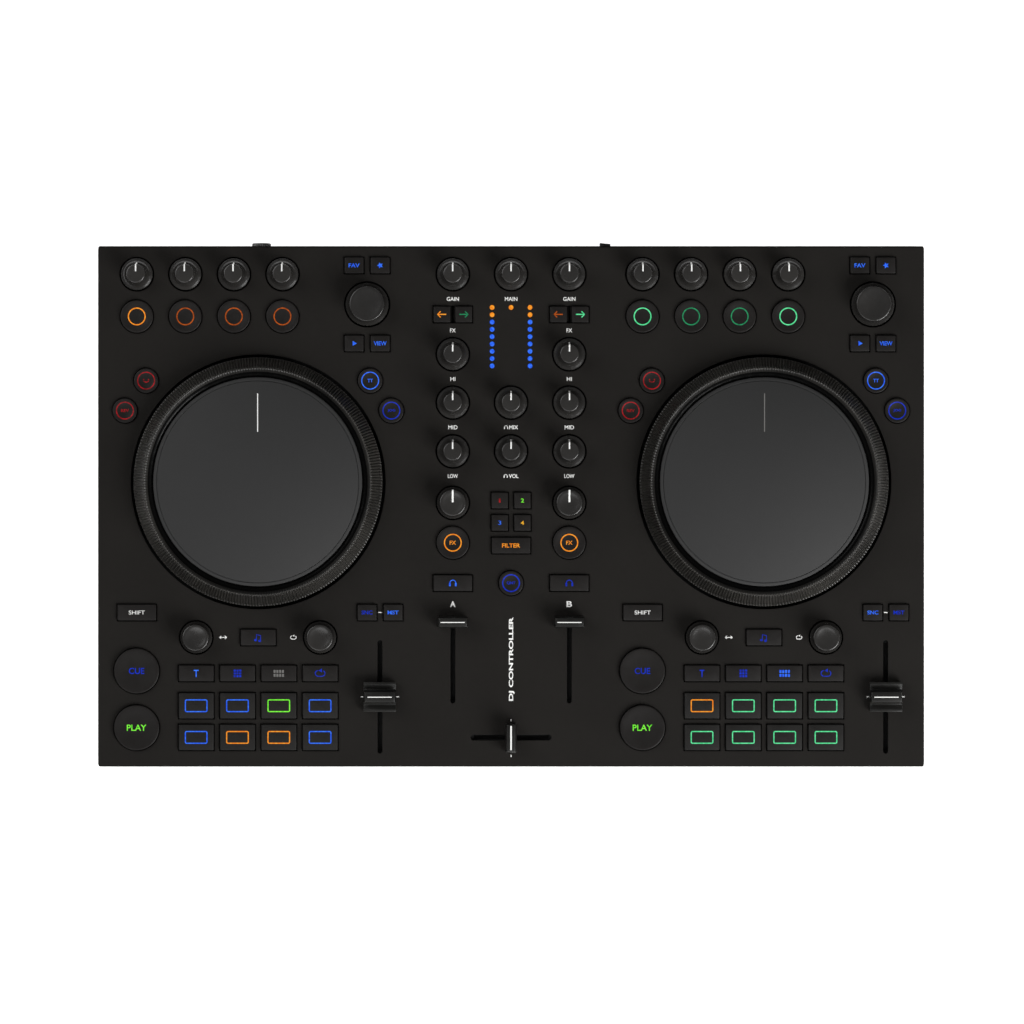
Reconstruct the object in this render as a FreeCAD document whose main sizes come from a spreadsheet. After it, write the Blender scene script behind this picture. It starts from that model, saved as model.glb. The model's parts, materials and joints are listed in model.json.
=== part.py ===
import FreeCAD, Part
import math
import os
import Sketcher

# A two-deck DJ controller: a flat case with two jog wheels, a mixer section between them, and rotary,
# sliding and push controls that come up through one panel.
# Frame: X to the right, Y to the rear, Z up, with the origin under the middle of the case on the
# surface that its feet stand on.  All lengths are in millimetres.

DIMENSIONS = {
    # case, panel and board
    "case_width": 444,
    "case_depth": 280,
    "case_bottom": 3.5,
    "case_wall": 3,
    "case_floor": 2.5,
    "case_corner": 1,
    "panel_reveal": 0.8,
    "panel_bottom": 37.5,
    "panel_top": 40,
    "board_bottom": 29,
    "board_top": 30.6,
    "board_margin": 8,
    "board_hole_gap": 0.5,
    "standoff_radius": 3,
    "standoff_spacing_x": 100,
    "standoff_row": 60,
    # feet and screws
    "foot_radius": 8,
    "foot_recess": 1,
    "foot_x": 195,
    "foot_y": 118,
    "screw_side_x": 214.5,
    "screw_front_x": 52,
    "screw_rear_left_x": 96.5,
    "screw_rear_right_x": 83.7,
    "screw_row": 132,
    "post_radius": 4,
    "post_top": 31,
    "post_hole_radius": 1.7,
    "boss_bottom": 31.1,
    "boss_hole_radius": 1.5,
    "boss_hole_top": 36.5,
    "counterbore_radius": 3.2,
    "counterbore_depth": 3,
    "screw_head_radius": 2.75,
    "screw_head_height": 2,
    "screw_radius": 1.45,
    "screw_tip": 36,
    "cross_recess_length": 3.2,
    "cross_recess_width": 0.8,
    "cross_recess_depth": 1.2,
    # deck layout, measured from the middle of a jog wheel
    "deck_x": 135.9,
    "jog_y": 13.2,
    "fx_pitch": 26.1,
    "top_knob_row": 124.8,
    "fx_key_row": 102.1,
    "browse_x": 58.55,
    "browse_y": 108.6,
    "browse_key_x": 7,
    "browse_key_high_row": 129.5,
    "browse_key_low_row": 87.6,
    "round_key_inner_x": 60.2,
    "round_key_high_row": 67.6,
    "round_key_outer_x": 71.6,
    "round_key_low_row": 51.5,
    "shift_x": 65.2,
    "shift_row": 57,
    "sync_x": 65.5,
    "sync_half_pitch": 7,
    "pad_pitch": 22.2,
    "encoder_row": 70.4,
    "mode_row": 89.7,
    "pad_high_row": 107.1,
    "pad_low_row": 124.1,
    "transport_x": 65.3,
    "cue_row": 88.4,
    "play_row": 118.9,
    "tempo_x": 65.4,
    "tempo_row": 102.3,
    # mixer layout, measured from the middle of the case
    "channel_x": 31.3,
    "high_row": 81.8,
    "mid_row": 55.8,
    "low_row": 29.6,
    "filter_row": 1.9,
    "mixer_fx_row": 19.5,
    "arrow_row": 103.2,
    "arrow_half_pitch": 5.85,
    "phones_cue_row": 41.2,
    "number_x": 6.1,
    "number_high_row": 3.2,
    "number_low_row": 8.8,
    "filter_key_row": 21,
    "line_fader_row": 82.3,
    "line_fader_rest": 62.2,
    "crossfader_row": 124.2,
    "meter_x": 10.2,
    "meter_row": 107,
    "meter_pitch": 3.93,
    # push keys: outlines run along the middle of the gap round each key
    "key_gap": 0.5,
    "key_proud": 1.6,
    "transport_proud": 2.2,
    "key_chamfer": 0.4,
    "key_depth": 3.7,
    "key_flange": 0.7,
    "key_flange_thickness": 0.9,
    "key_stem_radius": 1.3,
    "key_stem_length": 1.2,
    "big_key_radius": 9,
    "small_key_radius": 6.85,
    "transport_radius": 12.36,
    "small_key_width": 10.75,
    "key_length": 9.1,
    "wide_key_width": 21.3,
    "mode_key_width": 19.35,
    "pad_length": 14.3,
    "arrow_key_width": 9.6,
    "number_key_width": 9.4,
    "switch_width": 6,
    "switch_height": 3,
    "plunger_radius": 1.6,
    "plunger_height": 0.5,
    # rotary controls
    "knob_hole_radius": 9.35,
    "knob_skirt_radius": 8.6,
    "knob_bottom": 38,
    "knob_skirt_top": 41.3,
    "knob_flare_top": 46,
    "knob_flare_radius": 5,
    "knob_cap_radius": 5,
    "knob_cap_top": 54.5,
    "knob_edge": 0.5,
    "dished_cap_radius": 7,
    "dished_cap_top": 52.5,
    "dish_depth": 0.8,
    "dish_margin": 0.9,
    "browse_hole_radius": 12.45,
    "browse_skirt_radius": 11.6,
    "browse_cap_radius": 9.3,
    "knob_wall": 1.2,
    "knob_hollow_height": 2.2,
    "shaft_bore_radius": 3.1,
    "shaft_bore_top": 50,
    "shaft_radius": 3,
    "shaft_bottom": 33,
    "shaft_top": 49.8,
    "pot_width": 11,
    "pot_top": 35.7,
    "bushing_radius": 4.5,
    "bushing_top": 37.2,
    "bushing_bore_radius": 3.35,
    "bushing_bore_bottom": 32.6,
    # jog wheels
    "jog_hole_radius": 68.5,
    "jog_radius": 66.8,
    "jog_bottom": 38.3,
    "jog_shoulder": 44.5,
    "jog_crest_radius": 61.4,
    "jog_crest_inner": 60.4,
    "jog_top": 53,
    "jog_valley_radius": 56.4,
    "jog_valley_top": 48.6,
    "jog_web_bottom": 40.5,
    "jog_web_top": 43,
    "jog_ring_inner": 58,
    "hub_radius": 10,
    "hub_bottom": 33.4,
    "hub_bore_radius": 6.35,
    "plate_radius": 56.1,
    "plate_face_radius": 54.2,
    "plate_top": 50.4,
    "plate_edge_top": 49.8,
    "plate_thickness": 2.6,
    "plate_wall": 2.2,
    "bearing_base_radius": 20,
    "bearing_base_top": 33,
    "bearing_radius": 6,
    "bearing_top": 46.8,
    # sliding controls
    "slot_width": 2.7,
    "tempo_slot_length": 58.3,
    "line_slot_length": 44.4,
    "cross_slot_length": 40.2,
    "cross_slot_width": 3.2,
    "lever_width": 1.2,
    "lever_length": 3.5,
    "lever_bottom": 33.7,
    "lever_top": 42.6,
    "cap_bottom": 41,
    "tempo_cap_width": 17.4,
    "tempo_cap_length": 15.9,
    "tempo_cap_ledge": 1.4,
    "tempo_cap_ledge_top": 46.2,
    "tempo_cap_valley_top": 45,
    "tempo_cap_valley_half": 3.9,
    "tempo_cap_ridge_half": 2.9,
    "tempo_cap_top": 50.5,
    "line_cap_width": 16.2,
    "line_cap_length": 6.2,
    "line_cap_ridge_half": 2.3,
    "line_cap_top": 51.5,
    "cross_cap_length": 15.6,
    "track_width": 12,
    "track_margin": 4.5,
    "track_top": 36.8,
    "track_groove_width": 2.4,
    "track_groove_bottom": 33.2,
    # level meter
    "lens_hole_radius": 1.35,
    "lens_radius": 1.25,
    "lens_bottom": 36.5,
    # rear and front edge
    "socket_height": 18,
    "mic_knob_x": -134.8,
    "mic_knob_radius": 5.1,
    "mic_knob_hole_radius": 5.6,
    "mic_knob_inner_y": 131,
    "mic_knob_outer_y": 142.2,
    "mic_knob_edge": 0.7,
    "mic_shaft_radius": 2,
    "mic_shaft_end": 121,
    "mic_pot_front": 115,
    "mic_pot_rear": 124,
    "mic_pot_bore_radius": 2.4,
    "mic_pot_bore_depth": 4,
    "power_x": 50.7,
    "power_height": 12,
    "power_half_width": 2.95,
    "power_back_half_width": 2.2,
    "power_back_y": 133,
    "power_high_y": 142.2,
    "power_low_y": 141.6,
    "power_window_left": 4.2,
    "power_window_right": 3.5,
    "power_window_height": 12.8,
    "power_pivot_y": 135.5,
    "power_pin_radius": 1.2,
    "power_pin_length": 1.4,
    "power_pin_gap": 0.15,
    "power_housing_width": 13,
    "power_housing_height": 18,
    "power_housing_depth": 15,
    "power_housing_cavity": 6,
    "jack_radius": 3.25,
    "jack_hole_radius": 5.5,
    "jack_width": 15,
    "jack_length": 28,
    "jack_depth": 25,
    "mic_jack_x": -110,
    "main_left_x": -62,
    "main_right_x": -38,
    "phones_jack_x": -190,
    "usb_x": 12,
    "usb_width": 9,
    "usb_height": 3.3,
    "usb_length": 8,
    "usb_wall": 0.4,
    "usb_depth": 6.5,
    "usb_window_gap": 0.3,
}

SHEET_NAME = "Dimensions"
DECKS = (("left", -1), ("right", 1))
METER_ROWS = 9
COLUMNS = 4
FULL_TURN = 360
TOLERANCE = 1e-6

document = FreeCAD.newDocument("dj_controller")


class Length:
    """A length that carries its value together with the sheet formula that drives it."""

    def __init__(self, value, formula):
        self.value = value
        self.formula = formula

    def __add__(self, other):
        return Length(self.value + other.value, f"({self.formula} + {other.formula})")

    def __sub__(self, other):
        return Length(self.value - other.value, f"({self.formula} - {other.formula})")

    def __mul__(self, factor):
        return Length(self.value * factor, f"({self.formula} * {factor})")

    def __neg__(self):
        return self * -1


class DrivingSizes:
    """The cells of the sheet, read by their aliases as lengths."""

    def __init__(self, sheet):
        for row, (alias, size) in enumerate(DIMENSIONS.items(), start=1):
            sheet.set(f"A{row}", alias)
            sheet.set(f"B{row}", str(size))
            sheet.setAlias(f"B{row}", alias)
            setattr(self, alias, Length(float(size), f"{SHEET_NAME}.{alias}"))


size = DrivingSizes(document.addObject("Spreadsheet::Sheet", SHEET_NAME))
document.recompute()
ZERO = size.case_width - size.case_width


# ---------------------------------------------------------------- helpers

def bind(thing, target, length):
    """Drive one property of a document object by a length's formula."""
    thing.setExpression(target, length.formula)


def new_body(label, x=None, y=None, z=None):
    """An empty body whose label names its file, placed by the sheet."""
    body = document.addObject("PartDesign::Body", label)
    for axis, length in (("x", x), ("y", y), ("z", z)):
        if length is not None:
            bind(body, f"Placement.Base.{axis}", length)
    return body


def new_sketch(body, name, role="XY_Plane", offset=None):
    """A sketch on one of the body's own origin planes, moved along that plane's normal."""
    sketch = body.newObject("Sketcher::SketchObject", f"{body.Label}_{name}")
    planes = [feature for feature in body.Origin.OriginFeatures if feature.Role == role]
    sketch.AttachmentSupport = [(planes[0], "")]
    sketch.MapMode = "FlatFace"
    if offset is not None:
        bind(sketch, "AttachmentOffset.Base.z", offset)
    return sketch


def box(x, y, width, length):
    """A rectangular outline: its middle and its full sides."""
    return ("box", x, y, width, length)


def disc(x, y, radius):
    """A round outline: its middle and its radius."""
    return ("disc", x, y, radius)


def shifted(outlines, x):
    """The same outlines moved sideways."""
    return [(outline[0], outline[1] + x) + outline[2:] for outline in outlines]


class Drawing:
    """Gathers the geometry and constraints of one sketch, so that they are added in one go."""

    def __init__(self, sketch):
        self.sketch = sketch
        self.geometry = []
        self.constraints = []
        self.formulas = []

    def datum(self, kind, where, length):
        self.formulas.append((len(self.constraints), length.formula))
        self.constraints.append(Sketcher.Constraint(kind, *where, length.value))

    def pin(self, edge, end, x, y):
        """Hold one end of an edge at x, y from the sketch's origin."""
        self.datum("DistanceX", (-1, 1, edge, end), x)
        self.datum("DistanceY", (-1, 1, edge, end), y)

    def join(self, first, count):
        for step in range(count):
            following = first + (step + 1) % count
            self.constraints.append(Sketcher.Constraint("Coincident", first + step, 2, following, 1))

    def rectangle(self, x, y, width, length):
        left, right = x - width * 0.5, x + width * 0.5
        low, high = y - length * 0.5, y + length * 0.5
        first = len(self.geometry)
        corners = [(left, low), (right, low), (right, high), (left, high)]
        points = [FreeCAD.Vector(across.value, up.value, 0) for across, up in corners]
        for index, point in enumerate(points):
            self.geometry.append(Part.LineSegment(point, points[(index + 1) % len(points)]))
        self.join(first, len(points))
        for edge in (first, first + 2):
            self.constraints.append(Sketcher.Constraint("Horizontal", edge))
            self.constraints.append(Sketcher.Constraint("Vertical", edge + 1))
        self.pin(first, 1, left, low)
        self.pin(first + 2, 1, right, high)

    def circle(self, x, y, radius):
        centre = FreeCAD.Vector(x.value, y.value, 0)
        edge = len(self.geometry)
        self.geometry.append(Part.Circle(centre, FreeCAD.Vector(0, 0, 1), radius.value))
        self.pin(edge, 3, x, y)
        self.datum("Radius", (edge,), radius)

    def profile(self, points, hollows=None):
        """A closed outline through the points; hollows maps an edge's number to a concave radius."""
        hollows = hollows or {}
        first = len(self.geometry)
        vectors = [FreeCAD.Vector(across.value, up.value, 0) for across, up in points]
        for index, start in enumerate(vectors):
            end = vectors[(index + 1) % len(vectors)]
            if index in hollows:
                self.geometry.append(hollow_arc(start, end, hollows[index].value))
                self.datum("Radius", (first + index,), hollows[index])
            else:
                self.geometry.append(Part.LineSegment(start, end))
        self.join_profile(first, points, hollows)

    def join_profile(self, first, points, hollows):
        # an arc always runs anticlockwise, so a hollow drawn clockwise ends where it starts
        count = len(points)
        for index in range(count):
            following = (index + 1) % count
            end = 1 if index in hollows else 2
            start = 2 if following in hollows else 1
            joint = Sketcher.Constraint("Coincident", first + index, end, first + following, start)
            self.constraints.append(joint)
            across, up = points[following]
            if following in hollows:
                self.pin(first + index, end, across, up)
            else:
                self.pin(first + following, start, across, up)

    def finish(self):
        self.sketch.addGeometry(self.geometry, False)
        self.sketch.addConstraint(self.constraints)
        for number, formula in self.formulas:
            self.sketch.setExpression(f"Constraints[{number}]", formula)
        return self.sketch


def hollow_arc(start, end, radius):
    """The arc of this radius from end round to start, bulging to the right of the way from start to end."""
    chord = end.sub(start)
    height = math.sqrt(radius ** 2 - (chord.Length / 2) ** 2)
    outward = FreeCAD.Vector(chord.y, -chord.x, 0).normalize()
    centre = (start + end) * 0.5 + outward * height
    inner = centre - outward * radius
    return Part.Arc(start, inner, end)


def draw_outlines(sketch, outlines, grow):
    """Draw rectangles and circles, each made larger all round by one length."""
    drawing = Drawing(sketch)
    for kind, x, y, *sizes in outlines:
        if kind == "disc":
            drawing.circle(x, y, sizes[0] + grow)
        else:
            drawing.rectangle(x, y, sizes[0] + grow * 2, sizes[1] + grow * 2)
    return drawing.finish()


def pad(body, sketch, length, down=False, midplane=False):
    feature = body.newObject("PartDesign::Pad", f"{sketch.Name}_pad")
    feature.Profile = sketch
    feature.Reversed = down
    feature.Midplane = midplane
    bind(feature, "Length", length)
    document.recompute()
    return feature


def pocket(body, sketch, length, up=False):
    """Cut the sketch out of the body, and make sure that it took something away."""
    before = body.Shape.Volume
    feature = body.newObject("PartDesign::Pocket", f"{sketch.Name}_pocket")
    feature.Profile = sketch
    feature.Reversed = up
    bind(feature, "Length", length)
    document.recompute()
    if body.Shape.Volume >= before:
        raise ValueError(f"{feature.Name} cuts nothing")
    return feature


def revolve(body, sketch):
    feature = body.newObject("PartDesign::Revolution", f"{sketch.Name}_turned")
    feature.Profile = sketch
    feature.ReferenceAxis = (sketch, ["V_Axis"])
    feature.Angle = FULL_TURN
    document.recompute()
    return feature


def chamfer_top(body, feature, amount):
    """Chamfer the edges of every highest flat face of the body."""
    top = feature.Shape.BoundBox.ZMax
    faces = []
    for number, face in enumerate(feature.Shape.Faces, start=1):
        if abs(face.BoundBox.ZMin - top) < TOLERANCE:
            faces.append(f"Face{number}")
    chamfer = body.newObject("PartDesign::Chamfer", f"{feature.Name}_chamfer")
    chamfer.Base = (feature, faces)
    bind(chamfer, "Size", amount)
    document.recompute()
    return chamfer


def round_corners(body, feature, radius):
    """Round the four upright outer edges of a box-like body."""
    bounds = feature.Shape.BoundBox
    names = []
    for number, edge in enumerate(feature.Shape.Edges, start=1):
        span = edge.BoundBox
        upright = span.ZLength > bounds.ZLength - TOLERANCE and span.XLength < TOLERANCE
        if upright and abs(abs(span.XMin) - bounds.XMax) < TOLERANCE:
            names.append(f"Edge{number}")
    fillet = body.newObject("PartDesign::Fillet", f"{feature.Name}_corners")
    fillet.Base = (feature, names)
    bind(fillet, "Radius", radius)
    document.recompute()
    return fillet


# ---------------------------------------------------------------- layout

def grid(columns, rows):
    return [(x, y) for y in rows for x in columns]


def fx_columns():
    """The last of the four columns stands half a pitch to the right of the jog wheel's middle."""
    return [size.fx_pitch * (column + 1.5 - COLUMNS) for column in range(COLUMNS)]


def pad_columns():
    """Four columns, centred on the jog wheel."""
    return [size.pad_pitch * (column - (COLUMNS - 1) / 2) for column in range(COLUMNS)]


def upper_keys():
    """Effect keys, the four keys round the browse knob and the four round keys by the jog wheel."""
    keys = [disc(x, size.fx_key_row, size.big_key_radius) for x in fx_columns()]
    columns = (size.browse_x - size.browse_key_x, size.browse_x + size.browse_key_x)
    for x, y in grid(columns, (size.browse_key_high_row, size.browse_key_low_row)):
        keys.append(box(x, y, size.small_key_width, size.key_length))
    for side in (-1, 1):
        keys.append(disc(size.round_key_inner_x * side, size.round_key_high_row, size.small_key_radius))
        keys.append(disc(size.round_key_outer_x * side, size.round_key_low_row, size.small_key_radius))
    return keys


def lower_keys():
    """Shift, sync, tempo master and grid keys, and the row of four pad mode keys."""
    keys = [box(-size.shift_x, -size.shift_row, size.wide_key_width, size.key_length)]
    for side in (-1, 1):
        x = size.sync_x + size.sync_half_pitch * side
        keys.append(box(x, -size.shift_row, size.small_key_width, size.key_length))
    keys.append(box(ZERO, -size.encoder_row, size.mode_key_width, size.key_length))
    for x in pad_columns():
        keys.append(box(x, -size.mode_row, size.mode_key_width, size.key_length))
    return keys


def performance_pads():
    places = grid(pad_columns(), (-size.pad_high_row, -size.pad_low_row))
    return [box(x, y, size.mode_key_width, size.pad_length) for x, y in places]


def cue_key():
    return [disc(-size.transport_x, -size.cue_row, size.transport_radius)]


def play_key():
    return [disc(-size.transport_x, -size.play_row, size.transport_radius)]


def mixer_keys():
    """Effect assignment, channel effect, number, filter and headphone cue keys."""
    keys = []
    for channel in (-1, 1):
        x = size.channel_x * channel
        for side in (-1, 1):
            arrow_x = x + size.arrow_half_pitch * side
            keys.append(box(arrow_x, size.arrow_row, size.arrow_key_width, size.key_length))
        keys.append(disc(x, -size.mixer_fx_row, size.big_key_radius))
        keys.append(box(x, -size.phones_cue_row, size.wide_key_width, size.key_length))
    for x, y in grid((-size.number_x, size.number_x), (size.number_high_row, -size.number_low_row)):
        keys.append(box(x, y, size.number_key_width, size.key_length))
    keys.append(box(ZERO, -size.filter_key_row, size.wide_key_width, size.key_length))
    keys.append(disc(ZERO, -size.phones_cue_row, size.small_key_radius))
    return keys


def arrow_windows():
    """Each pair of arrow keys shares one window in the panel."""
    width = size.arrow_half_pitch * 2 + size.arrow_key_width
    return [box(size.channel_x * side, size.arrow_row, width, size.key_length) for side in (-1, 1)]


def encoder_places():
    """An encoder over each end of the row of pads."""
    columns = pad_columns()
    return [(x, -size.encoder_row) for x in (columns[0], columns[-1])]


def deck_knob_places():
    """Four effect knobs, the browse knob and the two encoders over the pads."""
    places = [(x, size.top_knob_row) for x in fx_columns()]
    places.append((size.browse_x, size.browse_y))
    return places + encoder_places()


def mixer_knobs():
    """Names, places and the dished form of the knobs of the mixer section."""
    knobs = [("main_level_knob", ZERO, size.top_knob_row, False)]
    rows = (
        ("gain_knob", size.top_knob_row, False),
        ("high_knob", size.high_row, False),
        ("mid_knob", size.mid_row, False),
        ("low_knob", size.low_row, False),
        ("filter_knob", size.filter_row, True),
    )
    for name, y, dished in rows:
        for deck, side in DECKS:
            knobs.append((f"{name}_{deck}", size.channel_x * side, y, dished))
    knobs.append(("phones_mix_knob", ZERO, size.mid_row, False))
    knobs.append(("phones_volume_knob", ZERO, size.low_row, False))
    return knobs


def screw_places():
    """Three down each side, two along the front and two along the rear, clear of the sockets."""
    places = grid((-size.screw_side_x, size.screw_side_x), (-size.screw_row, ZERO, size.screw_row))
    places += grid((-size.screw_front_x, size.screw_front_x), (-size.screw_row,))
    return places + grid((-size.screw_rear_left_x, size.screw_rear_right_x), (size.screw_row,))


def discs(places, radius):
    return [disc(x, y, radius) for x, y in places]


def boxes(places, width, length):
    return [box(x, y, width, length) for x, y in places]


def meter_places():
    columns = grid((-size.meter_x, size.meter_x), [size.meter_row - size.meter_pitch * row
                                                   for row in range(METER_ROWS)])
    return columns + [(ZERO, size.meter_row)]


def all_key_groups():
    """Every group of keys: name, x of its frame and the outlines of its keys in that frame."""
    groups = []
    for deck, side in DECKS:
        x = size.deck_x * side
        groups.append((f"upper_keys_{deck}", x, upper_keys()))
        groups.append((f"lower_keys_{deck}", x, lower_keys()))
        groups.append((f"performance_pads_{deck}", x, performance_pads()))
        groups.append((f"cue_key_{deck}", x, cue_key()))
        groups.append((f"play_key_{deck}", x, play_key()))
    groups.append(("mixer_keys", ZERO, mixer_keys()))
    return groups


# ---------------------------------------------------------------- case

def make_top_panel():
    """The flat top: a sheet with an opening for every control, and screw bosses under it."""
    body = new_body("top_panel", z=size.panel_top)
    thickness = size.panel_top - size.panel_bottom
    depth = size.case_depth - size.panel_reveal * 2
    sheet = draw_outlines(new_sketch(body, "sheet"), [box(ZERO, ZERO, size.case_width, depth)], ZERO)
    round_corners(body, pad(body, sheet, thickness, down=True), size.case_corner)
    half_gap = size.key_gap * 0.5
    for name, x, outlines in all_key_groups():
        if name == "mixer_keys":
            outlines = [key for key in outlines if key[3] is not size.arrow_key_width] + arrow_windows()
        cut_panel(body, name, shifted(outlines, x), half_gap, thickness)
    for deck, side in DECKS:
        cut_panel(body, f"knobs_{deck}", deck_openings(side), ZERO, thickness)
    knob_holes = discs([(x, y) for name, x, y, dished in mixer_knobs()], size.knob_hole_radius)
    cut_panel(body, "mixer_knobs", knob_holes, ZERO, thickness)
    cut_panel(body, "slots", upright_slots() + cross_slot(), ZERO, thickness)
    cut_panel(body, "slot_ends", slot_ends(), ZERO, thickness)
    cut_panel(body, "meter", discs(meter_places(), size.lens_hole_radius), ZERO, thickness)
    bosses = new_sketch(body, "bosses", offset=-thickness)
    draw_outlines(bosses, discs(screw_places(), size.post_radius), ZERO)
    pad(body, bosses, size.panel_bottom - size.boss_bottom, down=True)
    holes = new_sketch(body, "boss_holes", offset=size.boss_bottom - size.panel_top)
    draw_outlines(holes, discs(screw_places(), size.boss_hole_radius), ZERO)
    pocket(body, holes, size.boss_hole_top - size.boss_bottom, up=True)
    return body


def cut_panel(body, name, outlines, grow, thickness):
    sketch = draw_outlines(new_sketch(body, name), outlines, grow)
    pocket(body, sketch, thickness)


def deck_openings(side):
    """The knob and jog wheel openings of one deck."""
    openings = []
    for x, y in deck_knob_places():
        radius = size.browse_hole_radius if x is size.browse_x else size.knob_hole_radius
        openings.append(disc(x, y, radius))
    openings.append(disc(ZERO, size.jog_y, size.jog_hole_radius))
    return shifted(openings, size.deck_x * side)


def upright_slots():
    """The straight part of the slots that run front to rear: two tempo faders, two line faders."""
    slots = []
    for deck, side in DECKS:
        x = size.tempo_x + size.deck_x * side
        slots.append(box(x, -size.tempo_row, size.slot_width, size.tempo_slot_length))
        x = size.channel_x * side
        slots.append(box(x, -size.line_fader_row, size.slot_width, size.line_slot_length))
    return slots


def cross_slot():
    return [box(ZERO, -size.crossfader_row, size.cross_slot_length, size.cross_slot_width)]


def slot_ends():
    """The round ends of every slot: half of each disc lies over the straight part."""
    ends = []
    for kind, x, y, width, length in upright_slots():
        ends += [disc(x, y + length * half, width * 0.5) for half in (-0.5, 0.5)]
    for kind, x, y, width, length in cross_slot():
        ends += [disc(x + width * half, y, length * 0.5) for half in (-0.5, 0.5)]
    return ends


def make_bottom_case():
    """The tray: floor, four walls, screw posts and board standoffs, with the socket openings."""
    body = new_body("bottom_case", z=size.case_bottom)
    height = size.panel_bottom - size.case_bottom
    outer = new_sketch(body, "outer")
    draw_outlines(outer, [box(ZERO, ZERO, size.case_width, size.case_depth)], ZERO)
    round_corners(body, pad(body, outer, height), size.case_corner)
    inner = new_sketch(body, "inner", offset=height)
    inside = [box(ZERO, ZERO, size.case_width, size.case_depth)]
    draw_outlines(inner, inside, -size.case_wall)
    pocket(body, inner, height - size.case_floor)
    posts = draw_outlines(new_sketch(body, "posts"), discs(screw_places(), size.post_radius), ZERO)
    pad(body, posts, size.post_top - size.case_bottom)
    spacing = size.standoff_spacing_x
    standoff_places = grid((-spacing, ZERO, spacing), (-size.standoff_row, size.standoff_row))
    standoffs = new_sketch(body, "standoffs")
    draw_outlines(standoffs, discs(standoff_places, size.standoff_radius), ZERO)
    pad(body, standoffs, size.board_bottom - size.case_bottom)
    bottom_holes = (
        ("screw_holes", discs(screw_places(), size.post_hole_radius), size.post_top - size.case_bottom),
        ("counterbores", discs(screw_places(), size.counterbore_radius), size.counterbore_depth),
        ("foot_recesses", discs(foot_places(), size.foot_radius), size.foot_recess),
    )
    for name, outlines, depth in bottom_holes:
        pocket(body, draw_outlines(new_sketch(body, name), outlines, ZERO), depth, up=True)
    cut_edge_openings(body)
    return body


def cut_edge_openings(body):
    """Openings through the rear wall, and the headphone socket's through the front wall."""
    level = size.socket_height - size.case_bottom
    openings = [
        disc(size.mic_knob_x, level, size.mic_knob_hole_radius),
        power_window(level),
        box(size.usb_x, level, size.usb_width + size.usb_window_gap, size.usb_height + size.usb_window_gap),
    ]
    for x in (size.mic_jack_x, size.main_left_x, size.main_right_x):
        openings.append(disc(x, level, size.jack_hole_radius))
    # the sketch's normal points to the front, so the rear face lies at a negative offset
    rear = new_sketch(body, "rear_openings", "XZ_Plane", size.case_depth * -0.5)
    pocket(body, draw_outlines(rear, openings, ZERO), size.case_wall, up=True)
    front = new_sketch(body, "front_opening", "XZ_Plane", size.case_depth * 0.5)
    hole = [disc(size.phones_jack_x, level, size.jack_hole_radius)]
    pocket(body, draw_outlines(front, hole, ZERO), size.case_wall)


def power_window(level):
    """The opening that the power rocker swings in, wider on the side that it swings to."""
    x = size.power_x + (size.power_window_right - size.power_window_left) * 0.5
    width = size.power_window_left + size.power_window_right
    return box(x, level, width, size.power_window_height)


def foot_places():
    return grid((-size.foot_x, size.foot_x), (-size.foot_y, size.foot_y))


def make_rubber_feet():
    body = new_body("rubber_feet")
    outlines = discs(foot_places(), size.foot_radius)
    pad(body, draw_outlines(new_sketch(body, "feet"), outlines, ZERO), size.case_bottom + size.foot_recess)
    return body


def make_case_screws():
    """Cross-head screws from below, with their heads at the bottom of the counterbores."""
    body = new_body("case_screws", z=size.case_bottom + size.counterbore_depth)
    heads = draw_outlines(new_sketch(body, "heads"), discs(screw_places(), size.screw_head_radius), ZERO)
    pad(body, heads, size.screw_head_height, down=True)
    shanks = draw_outlines(new_sketch(body, "shanks"), discs(screw_places(), size.screw_radius), ZERO)
    pad(body, shanks, size.screw_tip - size.case_bottom - size.counterbore_depth)
    arms = (
        ("recess_across", size.cross_recess_length, size.cross_recess_width),
        ("recess_along", size.cross_recess_width, size.cross_recess_length),
    )
    for name, width, length in arms:
        arm = new_sketch(body, name, offset=-size.screw_head_height)
        draw_outlines(arm, boxes(screw_places(), width, length), ZERO)
        pocket(body, arm, size.cross_recess_depth, up=True)
    return body


def make_circuit_board():
    """One board under all the controls, with a hole round each screw post."""
    body = new_body("circuit_board", z=size.board_bottom)
    board = new_sketch(body, "board")
    draw_outlines(board, [box(ZERO, ZERO, size.case_width, size.case_depth)], -size.board_margin)
    pad(body, board, size.board_top - size.board_bottom)
    holes = draw_outlines(new_sketch(body, "post_holes"), discs(screw_places(), size.post_radius),
                          size.board_hole_gap)
    pocket(body, holes, size.board_top - size.board_bottom, up=True)
    return body


# ---------------------------------------------------------------- keys

def make_keys(name, x, outlines, proud):
    """Key tops with a chamfered edge, a retaining flange under the panel and a stem to the switch."""
    body = new_body(name, x=x, z=size.panel_top)
    bottom = -size.key_depth
    half_gap = size.key_gap * 0.5
    tops = draw_outlines(new_sketch(body, "tops", offset=bottom), outlines, -half_gap)
    chamfer_top(body, pad(body, tops, size.key_depth + proud), size.key_chamfer)
    flanges = draw_outlines(new_sketch(body, "flanges", offset=bottom), outlines, size.key_flange)
    pad(body, flanges, size.key_flange_thickness)
    stems = new_sketch(body, "stems", offset=bottom)
    draw_outlines(stems, discs([key[1:3] for key in outlines], size.key_stem_radius), ZERO)
    pad(body, stems, size.key_stem_length, down=True)
    return body


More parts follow.
